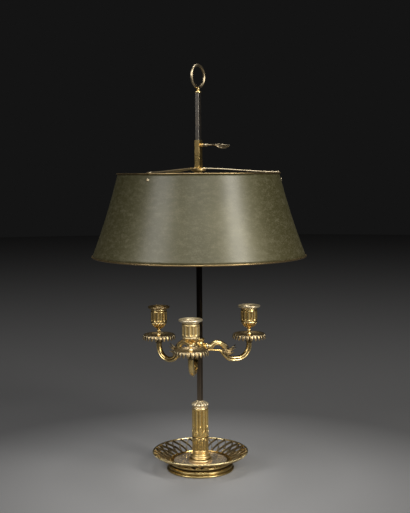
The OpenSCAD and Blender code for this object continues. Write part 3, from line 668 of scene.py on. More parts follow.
def shade_paint(name, base, shadow, sheen):
    """Old olive paint on sheet metal: mottled, wiped across, with fine specks, and painted shade
    that darkens it towards its top.
    """
    material, tree, inputs = principled(name, 0.0)
    inputs["Specular IOR Level"].default_value = 0.8
    inputs["Specular Tint"].default_value = (1.0, 0.93, 0.55, 1)
    inputs["Coat Roughness"].default_value = 0.35
    inputs["Coat Weight"].default_value = sheen
    broad = noise(tree, 9.0, 5.0)
    mottle = noise(tree, 400.0, 7.0, (1.0, 1.0, 1.3), 0.72)
    wiped = noise(tree, 80.0, 7.0, (1.0, 1.0, 2.2), 0.72)
    specks = noise(tree, 1500.0, 2.0)
    # Painted shade: the colour darkens towards the shade's top, where less light falls on it.
    upper = ramp(split(object_place(tree))[2], 0.39, 0.50)
    marks = mottle + wiped
    shaded = ramp(broad, 0.35, 0.68).maths("ADD", upper, use_clamp=True)
    colour = blended(shaded, base, shadow)
    colour = blended(ramp(marks, 0.95, 1.25, 0.0, 0.22), colour, (0.27, 0.245, 0.165, 1))
    colour = blended(ramp(specks, 0.69, 0.77, 0.0, 0.5), colour, (0.50, 0.46, 0.36, 1))
    rough = ramp(mottle, 0.3, 0.7, 0.44, 0.58) + ramp(broad, 0.35, 0.65, 0.0, 0.14) + upper * 0.1
    dress_shader(inputs, colour, rough, marks, 0.12, 0.0005)
    return material


# Each metal has its own colour, its worn edges' and that of the grime and painted shade in its
# hollows, then its blotches and its roughness. The amount of grime and painted shade, the bump
# and the metallic share follow where they differ.
DIRT_AND_SHADE, BROWN_DIRT_AND_SHADE, DARK_DIRT_AND_SHADE = (0.07, 0.032, 0.008), (0.05, 0.028, 0.01), (0.04, 0.022, 0.008)


def gilding(name, *values):
    """A gilt finish, as the pair of its material and its slot."""
    return metal(name + " brass", *values), "gilt_brass"


GILT = gilding("gilt", (0.90, 0.62, 0.215), (1.0, 0.86, 0.50), (0.08, 0.04, 0.011), 0.4, 0.22)
DEEP_GILT = gilding("deep gilt", (0.70, 0.475, 0.15), (0.90, 0.76, 0.42), DIRT_AND_SHADE, 0.5, 0.2)
BRIGHT_GILT = gilding("bright gilt", (1.0, 0.68, 0.21), (1.0, 0.85, 0.50), DIRT_AND_SHADE, 0.4, 0.2)
SATIN_GILT = gilding("satin gilt", (0.90, 0.65, 0.26), (1.0, 0.90, 0.62), (0.07, 0.035, 0.012),
                     0.4, 0.36)
DULL_GILT = gilding("dull gilt", (0.44, 0.31, 0.14), (0.72, 0.60, 0.38), BROWN_DIRT_AND_SHADE, 0.6, 0.27)
# A near-black gilt, as painted shade and dark reflection on the gallery's bars.
PAINTED_SHADE_GILT = gilding("dark gilt", (0.16, 0.115, 0.058), (0.44, 0.34, 0.18), DARK_DIRT_AND_SHADE, 0.5, 0.25)
# A darker gilt that paints the shade among the arms' leaves.
PAINTED_SHADE_LEAF_GILT = gilding("leaf gilt", (0.115, 0.085, 0.042), (0.28, 0.22, 0.12), DARK_DIRT_AND_SHADE, 0.5, 0.25)
AGED_GILT = gilding("aged gilt", (0.30, 0.235, 0.14), (0.62, 0.54, 0.38), (0.05, 0.035, 0.018),
                    0.5, 0.28, 0.7, 0.05)
POLISHED = gilding("satin", (0.86, 0.72, 0.54), (0.96, 0.86, 0.68), (0.25, 0.18, 0.1),
                   0.25, 0.17, 0.4, 0.04, 0.78)
WELL = gilding("smooth well", (0.64, 0.48, 0.26), (0.85, 0.72, 0.46), (0.06, 0.035, 0.012),
               0.5, 0.18, 0.7, 0.12, 0.88)
# A darker gilt for the dish's outside, as painted shade.
PAINTED_SHADE_FOOT_GILT = gilding("brown gilt", (0.37, 0.265, 0.09), (0.76, 0.59, 0.27), BROWN_DIRT_AND_SHADE, 0.5, 0.22)
PALE_GILT = gilding("pale gilt", (0.93, 0.79, 0.52), (1.0, 0.90, 0.68), (0.14, 0.09, 0.04),
                    0.4, 0.3, 0.9, 0.12, 0.85)
SOFT_GILT = gilding("soft gilt", (0.60, 0.47, 0.28), (0.92, 0.82, 0.60), (0.06, 0.04, 0.02),
                    0.4, 0.28, 0.6, 0.05)
# The rod's steel carries a painted shadow under the shade and a painted brown reflection near the
# column.
STEEL = (metal("dull steel", (0.24, 0.215, 0.185), (0.42, 0.38, 0.32), (0.07, 0.055, 0.045),
               0.2, 0.26, bump=0.05, painted_rod_shadow=True), "steel")
PAINT = shade_paint("olive paint", (0.041, 0.035, 0.012, 1), (0.021, 0.018, 0.002, 1), 0.68)
LINING = shade_paint("olive lining", (0.15, 0.125, 0.05, 1), (0.11, 0.09, 0.03, 1), 0.1)


# --- dish and foot

def base_dish():
    foot = reach("base_dish")
    floor = span("base_dish")[1]
    outline = [
        (3.1, floor - 2), (47.6, floor - 2), (47.6, floor - 3.6), (50.8, 3.4), (50.8, 0),
        (foot - 1.7, 0), *arc(foot - 1.7, 1.7, 1.7, -80, 90), (foot - 2.4, 3.75),
        *arc(foot - 4.9, 6.0, 2.4, -62, 66), (foot - 4.6, 8.7), (foot - 5.3, 9.2),
        (foot - 5.7, 10.2), (foot - 5.5, 11.2), (foot - 5.0, 11.7), (foot - 5.0, 13.4),
        (foot - 5.6, floor), (45.4, floor), (45.2, floor + 0.3), (44.3, floor + 0.3),
        (44.0, floor), *[(r, floor - 0.06) for r in range(43, 4, -2)], (3.1, floor)]
    dish = bare("base_dish", [turned(outline, 160)])
    # Painted shade: the dish's outside takes the darker gilt; its floor gets the pale satin.
    dress_two(dish, PAINTED_SHADE_FOOT_GILT[0], POLISHED[0], in_well(0, 0, 44.2, floor - 0.2))
    settle(dish, "base")


def gallery():
    low = span("gallery")[0]
    rim_r = reach("gallery_rim") - 1.5
    rim_z = sum(span("gallery_rim")[:2]) / 2
    seat_r = reach("base_dish") - 7
    seat = rounded(raised([
        (-1.4, -0.1), (1.5, -0.1), (1.6, 1.5), (0.3, 2.4), (-1.0, 2.2), (-1.5, 1.0),
    ], low, seat_r), 0.5)
    bars = grown("gallery", ARCHES, {
        "Count": 30, "First Angle": radians(7.5),
        "Inner Radius": (seat_r + 1.4) * MM, "Outer Radius": (rim_r - 0.6) * MM,
        "Foot Height": (low + 1.1) * MM, "Rise": (rim_z - low - 1.6) * MM,
        "Shape": 0.7, "Bar Width": 4.1 * MM, "Bar Thickness": 1.1 * MM,
        "Weave": 0.25 * MM, "Material": PAINTED_SHADE_GILT[0]})
    bars.data.set_sharp_from_angle(angle=0.3)
    # Painted reflection and shade: faces turned down get the bright gilt, as if mirroring the lit
    # floor, and the rest the near-black gilt, as if mirroring the dim room.
    dress_two(bars, PAINTED_SHADE_GILT[0], GILT[0], lambda face: face.normal.z < -0.3)
    settle(bars, "base", groove=0.0008)
    make("gallery_seat", [turned(seat, 160)], "base", GILT, nodes=[])
    core = arc(rim_r - 0.1, rim_z, 1.5, 0, 330, 12)
    make("gallery_band", [turned(core, 160)], "base", GILT, nodes=["gallery_rim"])
    rim_beads = grown("gallery_beads", BEADS, {
        "Count": 270, "First Angle": 0.0, "Ring Radius": (rim_r + 0.65) * MM,
        "Bead Radius": 0.9 * MM, "Height": (rim_z + 0.35) * MM, "Material": GILT[0]})
    settle(rim_beads, "base", groove=0.0008, nodes=[])


# --- column

def column_base():
    low, high, _ = span("column_base")
    outline = [
        (3.1, low), (17.7, low), *arc(17.95, low + 1.9, 1.65, -85, 92),
        *raised([(16.6, 3.8), (15.9, 4.5), (15.6, 5.6), (15.2, 6.1)], low),
        *arc(15.1, low + 7.7, 1.5, -80, 85),
        *raised([(14.6, 9.6), (13.9, 10.6), (13.3, 12.4), (13.1, 14.4)], low),
        (13.3, high - 2.5), *arc(13.1, high - 1.25, 1.15, -75, 80), (12.9, high), (3.1, high)]
    make("column_base", [turned(outline, 128)], "base", SATIN_GILT)


def carved_leaves(angle, z, first, low, tip, wide):
    """How far six upright leaves stand out of the shaft, with their curled tips."""
    across = np.abs(sector(angle, 6, first)) * tau / 6 * 13.7
    share = np.clip((z - low) / (tip - low), 0, 1)
    half = wide * (1 - share**3.2) ** 0.6
    inside = np.clip((half - across) / 0.45, 0, 1) * (z > low) * (z < tip)
    veins = 0.08 * np.sin((z + across * 1.1) * 2.6)
    curl = 0.1 * np.exp(-((z - tip + 1.5) ** 2 + (0.7 * across) ** 2) / 1.9)
    return inside * (0.26 + 0.05 * share + 0.22 * ridge(across, 0.42) + veins + curl)


def column():
    low, high, _ = span("column")
    radius = reach("column")
    flute_low, flute_high = low + 33.5, high - 2.6
    leaf_low, ring_z, carved_top = low + 22.9, low + 22.3, low + 43

    def push(angle, r, z):
        across = np.abs(sector(angle, FLUTES, COLUMN_TURN)) * tau / FLUTES * radius
        end = np.maximum(z - (flute_high - 2.6), 0) + np.maximum(flute_low - 2.6 - z, 0)
        flute = -groove_depth(np.hypot(across, end), 4.6, 1.5)
        cable = np.sqrt(np.clip(16 - across**2, 0, None)) - 3.75
        cable = np.where(across < 2.65, cable - 0.45 * np.clip(z - low - 18.3, 0, 1), 0)
        lower = (z > low + 0.7) & (z < low + 19.3)
        rings = (0.45 * ridge(z - low - 20.9, 0.75, 4) - 0.9 * ridge(z - ring_z, 0.55)
                 + 0.35 * ridge(z - high + 1.0, 0.8, 4))
        leaves = np.maximum(
            carved_leaves(angle, z, radians(-54.6), leaf_low, low + 41.6, 3.5),
            carved_leaves(angle, z, radians(-24.6), leaf_low, low + 33.8, 3.5))
        seam = -0.45 * ((z > leaf_low) & (z < low + 29)) * (leaves < 0.05)
        shape = np.where(leaves > 0, leaves, np.where(z > low + 24, flute + seam, 0))
        return np.where(r > radius - 2, shape + rings + np.where(lower, cable, 0), 0)

    heights = np.r_[np.arange(low, carved_top, 0.37), np.linspace(carved_top, high - 6, 12),
                    np.linspace(high - 5.6, high, 18)]
    outline = [(radius - 4, low), *[(radius - 0.2, z) for z in heights], (radius - 4, high)]
    shaft = bare("column", [turned(outline, 360, push)])
    dress_two(shaft, BRIGHT_GILT[0], DEEP_GILT[0], lambda face: face.center.z < ring_z * MM)
    # The flutes get extra grime and painted shade.
    settle(shaft, "base", groove=0.001, flutes=((0, 0), radius - 0.2, 0.45))


def column_cap():
    low, high, _ = span("column_cap")
    outline = smoothed([*raised([
        (13.2, 0), (13.5, 0.4), (13.4, 0.9), (12.2, 1.3), (11.8, 2.2), (12.5, 3.2),
        (13.5, 4.2), (14.0, 5.1), (14.3, 5.9), (14.35, 6.5), (14.0, 7.1), (13.1, 7.9),
        (11.8, 8.7), (10.3, 9.5), (8.8, 10.3), (7.4, 11.1), (6.2, 11.9)], low),
        (5.2, high)], 90)

    def petals(angle, r, z):
        depth = np.where((z > low + 2.4) & (r > 4), 1.7 * np.clip((z - low - 2.4) / 3, 0, 1)
                         * np.clip((r - 3.8) / 7, 0.1, 1), 0)
        u = np.abs(sector(angle, FLUTES, COLUMN_TURN))
        return depth * ((1 - (2 * u) ** 2.4) ** 0.7 - 0.75)

    outline = [(3.1, low), *outline.tolist(), (3.1, high)]
    make("column_cap", [turned(outline, 240, petals)], "base", PALE_GILT)


# --- rod

def rod():
    low, high, _ = span("rod")
    start, top = span("column_cap")[1], span("finial_collar")[0]
    loop = square_loop(reach("rod"), 0.45)
    thin, stud = round_loop(3.0, loop), round_loop(2.0, loop)
    make("rod", [stacked([
        (low, thin), (start, thin), (start, loop), (start + 0.4, loop), (top - 0.4, loop),
        (top, loop), (top, stud), (high, stud)])], "base", STEEL)


def finial():
    low, high, _ = span("finial_collar")
    ring_low, ring_high, middle = span("finial_ring")
    outline = rounded([*raised([
        (0.5, 3.2), (2.2, 3.2), (2.2, 0), (5.1, 0), (5.5, 0.6), (5.5, 1.9), (4.4, 2.6),
        (3.7, 3.4), (2.7, 4.0), (2.2, 5.2), (2.7, 6.6)], low),
        (2.7, high - 0.2), (0.5, high - 0.2)], 0.25)
    make("finial_collar", [turned(outline, 64)], "base", GILT)
    bar = 2.25
    large = (ring_high - ring_low) / 2 - bar
    turns = circle(96)[:, None]
    round_bar = circle(24)[None, :]
    uneven = 1 + 0.008 * np.sin(3 * turns + 1) + 0.006 * np.sin(7 * turns)
    out = large + bar * uneven * np.cos(round_bar)
    points = np.stack([
        bar * uneven * np.sin(round_bar), out * np.sin(turns),
        out * np.cos(turns) + middle[2]], -1)
    make("finial_ring", [grid_shell(points, close_rows=True)], "base", AGED_GILT)


# --- shade carrier

def shade_sleeve():
    low, high, _ = span("shade_sleeve")
    half, inner = 4.7, 3.75
    key_z = span("shade_key")[2][2]
    rows = [
        (inner + 0.25, low), (half - 0.2, low), (half, low + 0.2), (half, low + 0.5),
        (half, high - 0.5), (half, high - 0.2), (half - 0.2, high), (inner + 0.25, high),
        (inner, high - 0.25), (inner, low + 0.25)]
    tube = stacked([(z, square_loop(w, 0.4)) for w, z in rows], close_rows=True)
    points, faces = turned(rounded([
        (1.85, 0), (2.7, 0), (2.7, 0.5), (3.0, 0.9), (3.0, 3.6), (2.6, 4.3), (2.6, 4.8),
        (1.85, 4.8)], 0.2), 32)
    boss = (np.stack([points[:, 2] + half, points[:, 1], points[:, 0] + key_z], 1), faces)
    make("shade_sleeve", [tube, boss], "shade_carrier", GILT)


def spider():
    seat = span("shade_hub")[1] + 1
    rim_r, rim_z = reach("shade_top_rim") - 2.8, span("shade_top_rim")[1]
    strip = swept(smoothed([
        (4.3, seat), (12.5, seat), *raised([(-3.6, 1), (-1.2, 1), (0.4, 0.75)], rim_z, rim_r),
    ], 60), lambda share, c, s: (boxy(c) * (1 - 0.5 * np.clip(share - 0.97, 0, 1) / 0.03),
                                 4.0 * boxy(s)), 28)
    tab = swept(smoothed(raised([
        (-2.2, 1.0), (-1.3, -2), (0.7, -SCREW_DROP), (2.2, -16.6)], rim_z, rim_r), 20),
        lambda share, c, s: (0.8 * boxy(c), 3.7 * boxy(s)), 28)
    for k, angle in enumerate(SPIDER_ANGLES, 1):
        make(f"spider_arm_{k}", [moved(shell, radians(angle)) for shell in (strip, tab)],
             "shade_carrier", SOFT_GILT)
    rivet = rounded([(0.05, -3), (1.1, -3), (1.1, 0), (2.1, 0), (1.8, 0.6), (1.0, 0.9),
                     (0.05, 0.95)], 0.12)
    top = span("spider_rivets")[1] - 0.9
    ring_of("spider_rivets", [moved(turned(rivet, 24), 0, (9.92, 0, top))], 3,
            radians(SPIDER_ANGLES[0]), "shade_carrier", GILT)


def half_disc(radius, slot, height, side):
    """Half of a domed, slotted screw head, from 0 to height along Z."""
    a = asin(slot / radius)
    turns = np.linspace(a, pi - a, 17)
    rim = np.stack([radius * np.cos(turns), radius * np.sin(turns)], 1)
    flat = np.linspace(rim[-1], rim[0], 7)[1:-1]
    loop = np.concatenate([rim, flat]) * np.array([1, side])
    centre = np.array([0, side * radius * 0.42])
    loops = []
    for t, share in ((0, 1), (0.35, 1), (0.62, 0.93), (0.85, 0.72), (1.0, 0.35)):
        place = centre + (loop - centre) * share
        loops.append((height * t, np.maximum(np.abs(place), [0, slot]) * np.sign(place)))
    return stacked(loops)


def shade_screws():
    rim_z = span("shade_top_rim")[1]
    radius = SHADE_TOP_R + SHADE_SLOPE * SCREW_DROP + SHADE_FLARE * SCREW_DROP**2
    tilt = atan(SHADE_SLOPE + 2 * SHADE_FLARE * SCREW_DROP)
    base = turned([(0.05, -4), (1.4, -4), (1.4, 0.0), (2.85, 0.0), (2.85, 0.35), (0.05, 0.6)], 32)
    shells = []
    for shell in (base, *[half_disc(2.9, 0.38, 1.3, side) for side in (1, -1)]):
        points, faces = moved(shell, 0.5)
        x, y, out = points.T
        shells.append((np.stack([
            radius + out * cos(tilt) - x * sin(tilt), y,
            rim_z - SCREW_DROP + x * cos(tilt) + out * sin(tilt)], 1), faces))
    ring_of("shade_screws", shells, 3, radians(SPIDER_ANGLES[0]), "shade_carrier",
            AGED_GILT, 0.0006)


def shade():
    low, high, _ = span("shade_body")
    rim_z = span("shade_top_rim")[1]
    step = rim_z - high
    top = SHADE_TOP_R + SHADE_SLOPE * step
    sheet = grown("shade_body", SHEET, {
        "Top Radius": (top + SHADE_FLARE * step**2) * MM, "Top Height": high * MM,
        "Depth": (high - low) * MM, "Slope": SHADE_SLOPE + 2 * SHADE_FLARE * step,
        "Flare": SHADE_FLARE / MM, "Material": PAINT})
    wall = sheet.modifiers.new("wall", "SOLIDIFY")
    wall.thickness = 0.8 * MM
    wall.offset = -1.0
    mesh = finished_mesh(sheet)
    sheet.modifiers.clear()
    sheet.data = mesh
    dress_two(sheet, PAINT, LINING, lambda face: (
        face.normal.x * face.center.x + face.normal.y * face.center.y < 0))
    settle(sheet, "shade_carrier")
    upper = rounded([
        *raised([(-1.1, 0), (1.9, 0), (2.4, 0.8)], high, top),
        *raised([(1.9, -0.25), (0.9, 0), (-1.1, 0)], rim_z, top)], 0.4)
    make("shade_top_rim", [turned(upper, 240)], "shade_carrier", DULL_GILT)
    foot = reach("shade_bottom_rim") - 1.8
    lower = rounded([
        *raised([(-1.2, 0.4), (-0.8, 0), (0.5, 0.2), (1.45, 0.9), (1.8, 1.95)],
                span("shade_bottom_rim")[0], foot),
        (foot + 1.2, low), (foot - 1.2, low)], 0.35)
    make("shade_bottom_rim", [turned(lower, 288)], "shade_carrier", DULL_GILT)


def thumb_key(name, body, turn, start, tip, face, shoulder, leaf_length, width):
    """A thumb key: a screw, a turned shoulder, a thin neck and a leaf, made along X."""
    root = tip - leaf_length
    s, free = shoulder, root - face
    stem = [
        (start, 1.2), (start + 0.5, 1.7), (face + 0.2, 1.7), (face + 0.2, 0.92 * s),
        (face + 0.6, s), (face + 0.36 * free * 0.9, 0.86 * s), (face + 0.36 * free, 0.7 * s),
        (face + 0.4 * free, 1.1), (root - 0.5, 0.95), (root + 1.5, 1.4), (root + 3, 1.0),
        (root + 5, 0.4)]
    spine = [(root - 0.5, 0), (root + leaf_length * 0.5, 0.3), (tip - 1, -leaf_length * 0.04)]
    points, faces = leaf(
        spine, lambda t: width / 2 * np.sin(pi * np.clip(t * 0.93 + 0.05, 0, 1)) ** 0.7,
        1.5, lobes=4, notch=0.06, cup=0.1, vein=0.5, across=17)
    x, z, y = points[:, 0], points[:, 1], -points[:, 2]
    share = np.clip((x - root) / leaf_length, 0, 1)
    twist = -0.25 + 0.75 * share
    droop = 0.11 * leaf_length * np.sin(0.8 * pi * share)
    blade = np.stack([x, y * np.cos(twist) - z * np.sin(twist),
                      y * np.sin(twist) + z * np.cos(twist) - droop], 1)
    place = (0, 0, span(name)[2][2])
    make(name, [moved(shell, turn, place) for shell in (turned_x(stem), (blade, faces))],
         body, AGED_GILT, 0.0008)


def keys():
    low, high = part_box("shade_key")
    thumb_key("shade_key", "shade_thumb_key", 0, low.x / MM, high.x / MM, 9.5, 2.3, 28, 7.6)
    low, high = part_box("candle_key")
    thumb_key("candle_key", "candle_thumb_key", pi / 2, low.y / MM, high.y / MM, 9.0, 2.4,
              11, 6.6)


# --- candle cluster

def candle_hub():
    low, high, _ = span("candle_hub")
    r = 7.5
    key_z = span("candle_key")[2][2]
    outline = rounded([
        (4.2, low), *raised([(-1.6, 0), (-1.0, 1.5), (-0.1, 2.6), (-0.1, 8), (0.5, 9),
                             (0.5, 10.2), (-0.1, 11)], low, r),
        *raised([(-0.1, -8), (-0.9, -6.2), (-1.1, -3.6), (0.2, -2.4), (0.3, -0.8),
                 (-0.6, 0)], high, r), (4.2, high)], 0.35)

    def push(angle, radius, z):
        square = 3.75 / np.maximum(np.abs(np.cos(angle)), np.abs(np.sin(angle)))
        return np.where(radius < 4.5, square - radius, 0)

    points, faces = turned(rounded([(1.85, 0), (2.5, 0), (2.5, 2.2), (1.85, 2.2)], 0.2), 32)
    boss = (np.stack([points[:, 1], points[:, 2] + r - 0.7, points[:, 0] + key_z], 1), faces)
    make("candle_hub", [turned(outline, 96, push), boss], "candle_cluster", GILT)


def calyx():
    """Eight lobed leaves that grow from one root round the scroll's end."""
    columns, rows, leaves = 136, 30, 8
    share = np.linspace(0, 1, rows)[:, None]
    angle = circle(columns)[None, :]
    u = np.abs(sector(angle, leaves))
    lobes = np.maximum(1 - 3.6 * u, 0.74 - 4.2 * np.abs(u - 0.27))
    up = np.cos(angle)
    far = np.where(up > 0, 0.78 + 0.22 * up, 0.78 + 0.36 * up)
    place = share * (far * (0.46 + 0.54 * np.clip(lobes, 0, 1)))
    path = smoothed([(38.5, -9), (43, -11.5), (48, -13.8), (54, -14.6), (60, -13.4),
                     (68, -10.2)], 80)
    along = np.linspace(0, 1, len(path))
    x, z, left_x, left_z = (np.interp(place, along, values)
                            for values in (*path.T, *normals(path).T))
    wide = np.interp(place, (0, 0.06, 0.14, 0.3, 0.6, 0.85, 1),
                     (2.2, 4.6, 5.8, 6.5, 6.8, 6.8, 7.8))
    ribs = 0.55 * ridge(u, 0.07) + 0.3 * ridge(u - 0.27, 0.06)
    seam = -0.7 * ridge(0.5 - u, 0.05) * np.clip(share * 4, 0, 1)
    curl = 1.6 * share**5 * np.clip(1.3 - 2 * u, 0, 1)

    def layer(distance):
        out = distance * np.cos(angle)
        return np.stack([x + left_x * out, 0.84 * distance * np.sin(angle), z + left_z * out], -1)

    outer, inner = layer(wide + ribs + seam + curl), layer(np.maximum(wide - 1.1 + curl, 1.0))
    return grid_shell(np.concatenate([outer, inner[::-1]]), close_rows=True)


def arm_shells(lift):
    """One cast arm with its root on the hub's axis and X outwards, z = 0 at its root."""
    bend = [(x, z + lift * np.clip((x - 50) / 14, 0, 1))
            for x, z in arc(67.5, -8, 22, -135, 0, 20)]
    path = smoothed([
        (6.9, -6.1), (14, -6.7), (22, -7.5), *arc(30.1, -24.3, 16, 82, 45, 6), *bend,
        (ARM_REACH, -5.5 + lift), (ARM_REACH, -3.2 + lift)], 120)

    def section(share, c, s):
        rise = np.clip((share - 0.2) / 0.22, 0, 1)
        rise = rise**2 * (3 - 2 * rise)
        pinch = 1 - 0.45 * rise * ridge(c, 0.27)
        return (1.5 + 3.1 * rise) * c, (3.0 + 1.8 * rise) * s * pinch

    def scroll_section(share, c, s):
        high = np.interp(share, (0, 0.15, 0.85, 1), (3.2, 4.5, 4.3, 3.0))
        wide = np.interp(share, (0, 0.3, 0.6, 0.9, 1), (3.6, 4.8, 5.4, 5.0, 4.0))
        crown = 0.3 * ridge(s, 0.3) * (c > 0)
        return high * c + crown, wide * s * (1 - 0.2 * ridge(c, 0.3))

    bar = swept(path, section, 36)
    scroll = swept(smoothed([
        (20.5, -7), (21, -2), (24.5, 2), (30, 3.9), (35, 3.6), (40, 0.8), (43.5, -3.2),
        (46, -8.0)], 60), scroll_section, 32)
    tip = leaf([(38.5, 4.6), (42, 3.6), (46, 1.2), (50.5, -3.4), (53, -6.6)],
               lambda s: 5.2 * np.sin(pi * np.clip(0.22 + 0.76 * s, 0, 1)) ** 0.7,
               1.6, lobes=5, notch=0.3, cup=-0.35)
    tie = swept([(14, 0), (17, -0.4), (20, -1.2), (23.5, -2.2)],
                lambda share, c, s: (3.2 * c, 3.4 * s), 20)
    knuckle = ball((12.2, 0, 0), 9.8, 28)
    collar = moved(turned_x([
        (15.6, 2.6), (15.6, 3.7), (16.2, 4.2), (17.0, 4.2), (17.4, 3.4), (18.2, 3.4),
        (18.6, 4.2), (19.4, 4.2), (20.0, 3.7), (20.0, 2.6)]), 0, (0, 0, -1.0))
    tenon = turned_x([(5.2, 2.2), (10.2, 2.2)])
    cup = turned(rounded(raised([
        (1.6, -1), (4.7, -1), (4.9, 0), (6.0, 1.3), (6.5, 2.6), (5.3, 4), (4.7, 5.4),
        (5.2, 7.2), (6.5, 8.2), (6.5, 9.4), (1.6, 9.4)], lift - 3.6), 0.4), 48)
    cup = moved(cup, 0, (ARM_REACH, 0, 0))
    return [bar, tie, tenon], [scroll, knuckle, collar], [tip, calyx(), cup]


def drip_pan(k):
    x, y, turn, well = candle_place(k)
    place = (x, y, well)
    outline = smoothed([
        (1.7, 0.0), (4, 0.0), (6, 0.0), (8.5, 0.0), (11, 0.05), (13, 0.12), (15, 0.3),
        (18.4, 1.0), (21.2, 2.2), (23.4, 3.35), (24.8, 4.0), (25.6, 4.3), (26.35, 4.1),
        (26.6, 3.6), (26.2, 3.1), (25.4, 2.7), (24.0, 1.9), (21, 0.6), (17.6, -0.6),
        (13, -1.15), (7, -1.2), (1.7, -1.2)], 96)
    pan = bare(f"drip_pan_{k}", [moved(turned(outline, 120), turn, place)])
    dress_two(pan, DULL_GILT[0], WELL[0], in_well(x, y, 24.4, well - 0.1))
    settle(pan, "candle_cluster")
    tongue = leaf([(25.6, 3.5), (26.5, 2.7), (27.1, 0.9), (27.5, -1.6), (27.8, -4.7)],
                  lambda s: 2.7 * np.clip((1.0 - s) / 0.45, 0, 1) ** 0.6 + 0.04, 1.1,
                  lobes=1, notch=0, cup=-0.12, vein=0.6, across=11, along=14)
    ring_of(f"pan_tongues_{k}", [tongue], 24, turn, "candle_cluster", DULL_GILT, 0.0009,
            [], place)


def nozzle(k):
    x, y, turn, well = candle_place(k)
    place = (x, y, well)
    top = span(f"nozzle_{k}")[1] - well
    radius = 14.0
    ring_z = top * 0.46 + 1.0
    low, high = ring_z + 4.2, top - 5.2
    stem = rounded([
        (1.6, 0), (2.9, 0), (2.7, 0.6), (2.4, 6.9), (1.9, 7.1), (1.8, 12.2), (2.2, 12.8),
        (3.6, 13.4), (3.7, 14.2), (2.8, 14.8), (3.6, 15.6), (6.6, 17.4), (9.2, 19.8),
        (11.2, 22.6), *raised([(12.1, -1.4), (12.4, 0), (11, 2), (1.6, 2)], ring_z)], 0.4)
    outline = [
        (11.2, top - 3), *raised([
            (11.2, 3), (11.2, 0.2), (12.6, -0.3), (13.4, 0.2), (13.9, 1.0), (13.6, 1.8),
            (13.1, 2.3), (13.4, 2.9)], ring_z),
        *[(radius - 0.1, z) for z in np.linspace(ring_z + 3.4, top - 4.6, 60)],
        *raised([(13.5, -4.0), (13.1, -3.3), (13.4, -2.5), (13.7, -1.6), (13.5, -0.7),
                 (12.9, 0), (11.2, 0)], top)]

    def push(angle, r, z):
        across = np.abs(sector(angle, FLUTES, pi / FLUTES)) * tau / FLUTES * radius
        end = np.maximum(z - high + 2.4, 0) + np.maximum(low + 2.4 - z, 0)
        flute = -groove_depth(np.hypot(across, end), 5.5, 1.3)
        wave = 0.25 * np.cos(angle * 2 * FLUTES) * ((z > ring_z - 0.5) & (z < ring_z + 2))
        return np.where(r > radius - 0.3, flute, np.where(r > 12, wave, 0))

    shells = [turned(stem, 72), turned(arc(0.35, 3.5, 3.7, -88, 88, 16), 28),
              turned(arc(0.35, 10.1, 3.0, -88, 88, 14), 28), turned(outline, 216, push)]
    # The flutes get extra grime and painted shade.
    make(f"nozzle_{k}", [moved(shell, turn, place) for shell in shells], "candle_cluster",
         SATIN_GILT if k == 1 else GILT, flutes=((x, y), radius - 0.1, 0.5))
    blade = leaf([(3.4, 14.9), (7.2, 16.9), (10.4, 19.8), (12.6, 23.0), (13.5, ring_z + 0.2)],
                 lambda s: 0.6 + 4.0 * np.sin(pi * np.clip(s * 0.62 + 0.03, 0, 1)) * (1 - s**6),
                 1.0, lobes=4, notch=0.15, cup=-0.12, vein=0.6, across=11, along=22)
    ring_of(f"nozzle_leaves_{k}", [blade], 8, turn + pi / 8, "candle_cluster", GILT, 0.0009,
            [], place)


def bobeche(k):
    x, y, turn, _ = candle_place(k)
    low, high, _ = span(f"bobeche_{k}")
    seat = high - 4.2
    outline = [*smoothed(raised([
        (11.6, 0.1), (14, 0.15), (16.6, 0.4), (18.2, 1.1), (18.7, 2.2), (18.65, 3.4),
        (17.9, 4.1), (16.6, 3.9), (14.4, 3.1), (12.2, 2.6), (11.0, 2.95), (10.3, 2.75),
        (10.05, 2.2)], seat), 60),
        (10.0, seat + 1.6), (10.0, low + 0.3), (10.2, low), (10.7, low), (10.9, low + 0.3),
        (10.9, seat + 0.1)]
    make(f"bobeche_{k}", [moved(turned(outline, 96), turn, (x, y, 0))], f"candle_ring_{k}",
         DULL_GILT if k == 3 else PALE_GILT)


def cluster():
    candle_hub()
    base_well = candle_place(1)[3]
    root = base_well - 7
    for k in CANDLES:
        _, _, turn, well = candle_place(k)
        arm, scroll, leaves = arm_shells(well - base_well)
        # The arms' leaves take the darker gilt as painted shade.
        for name, shells, nodes, finish in (
                ("candle_arm", arm, None, DEEP_GILT), ("arm_scroll", scroll, [], GILT),
                ("arm_leaves", leaves, [], PAINTED_SHADE_LEAF_GILT)):
            make(f"{name}_{k}", [moved(shell, turn, (0, 0, root)) for shell in shells],
                 "candle_cluster", finish, nodes=nodes)
        drip_pan(k)
        nozzle(k)
        bobeche(k)


def dress_cad_nodes():
    """The small machined pieces keep the exact CAD shape and get their finish."""
    worn, dirt_and_shade = (0.9, 0.75, 0.45), (0.08, 0.05, 0.02)
    brass = gilding("plain", (0.62, 0.45, 0.19), worn, dirt_and_shade, 0.5, 0.28, 0.0)
    steel = metal("plain steel", (0.30, 0.285, 0.26), worn, dirt_and_shade, 0.3, 0.36, 0.0), "steel"
    kept = {"shade_hub": brass, "shade_nuts": brass, "rod_washer": steel, "rod_nut": steel}
    for k in CANDLES:
        kept[f"nozzle_stud_{k}"] = steel
    for name, (material, slot_name) in kept.items():
        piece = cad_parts[name]
        piece.data.materials.clear()
        piece.data.materials.append(material)


for build in (base_dish, gallery, column_base, column, column_cap, rod, finial,
              shade_sleeve, spider, shade_screws, shade, keys, cluster, dress_cad_nodes):
    build()


# --- room and camera

# The camera's right and its way ahead, both level, and its place in metres.
RIGHT = Vector((0.8192, 0.5736, 0))
AHEAD = Vector((-0.5736, 0.8192, 0))
CAMERA_PLACE = (0.8881, -1.2515, 0.4929)
MIDDLE = (0, 0, 0.33)


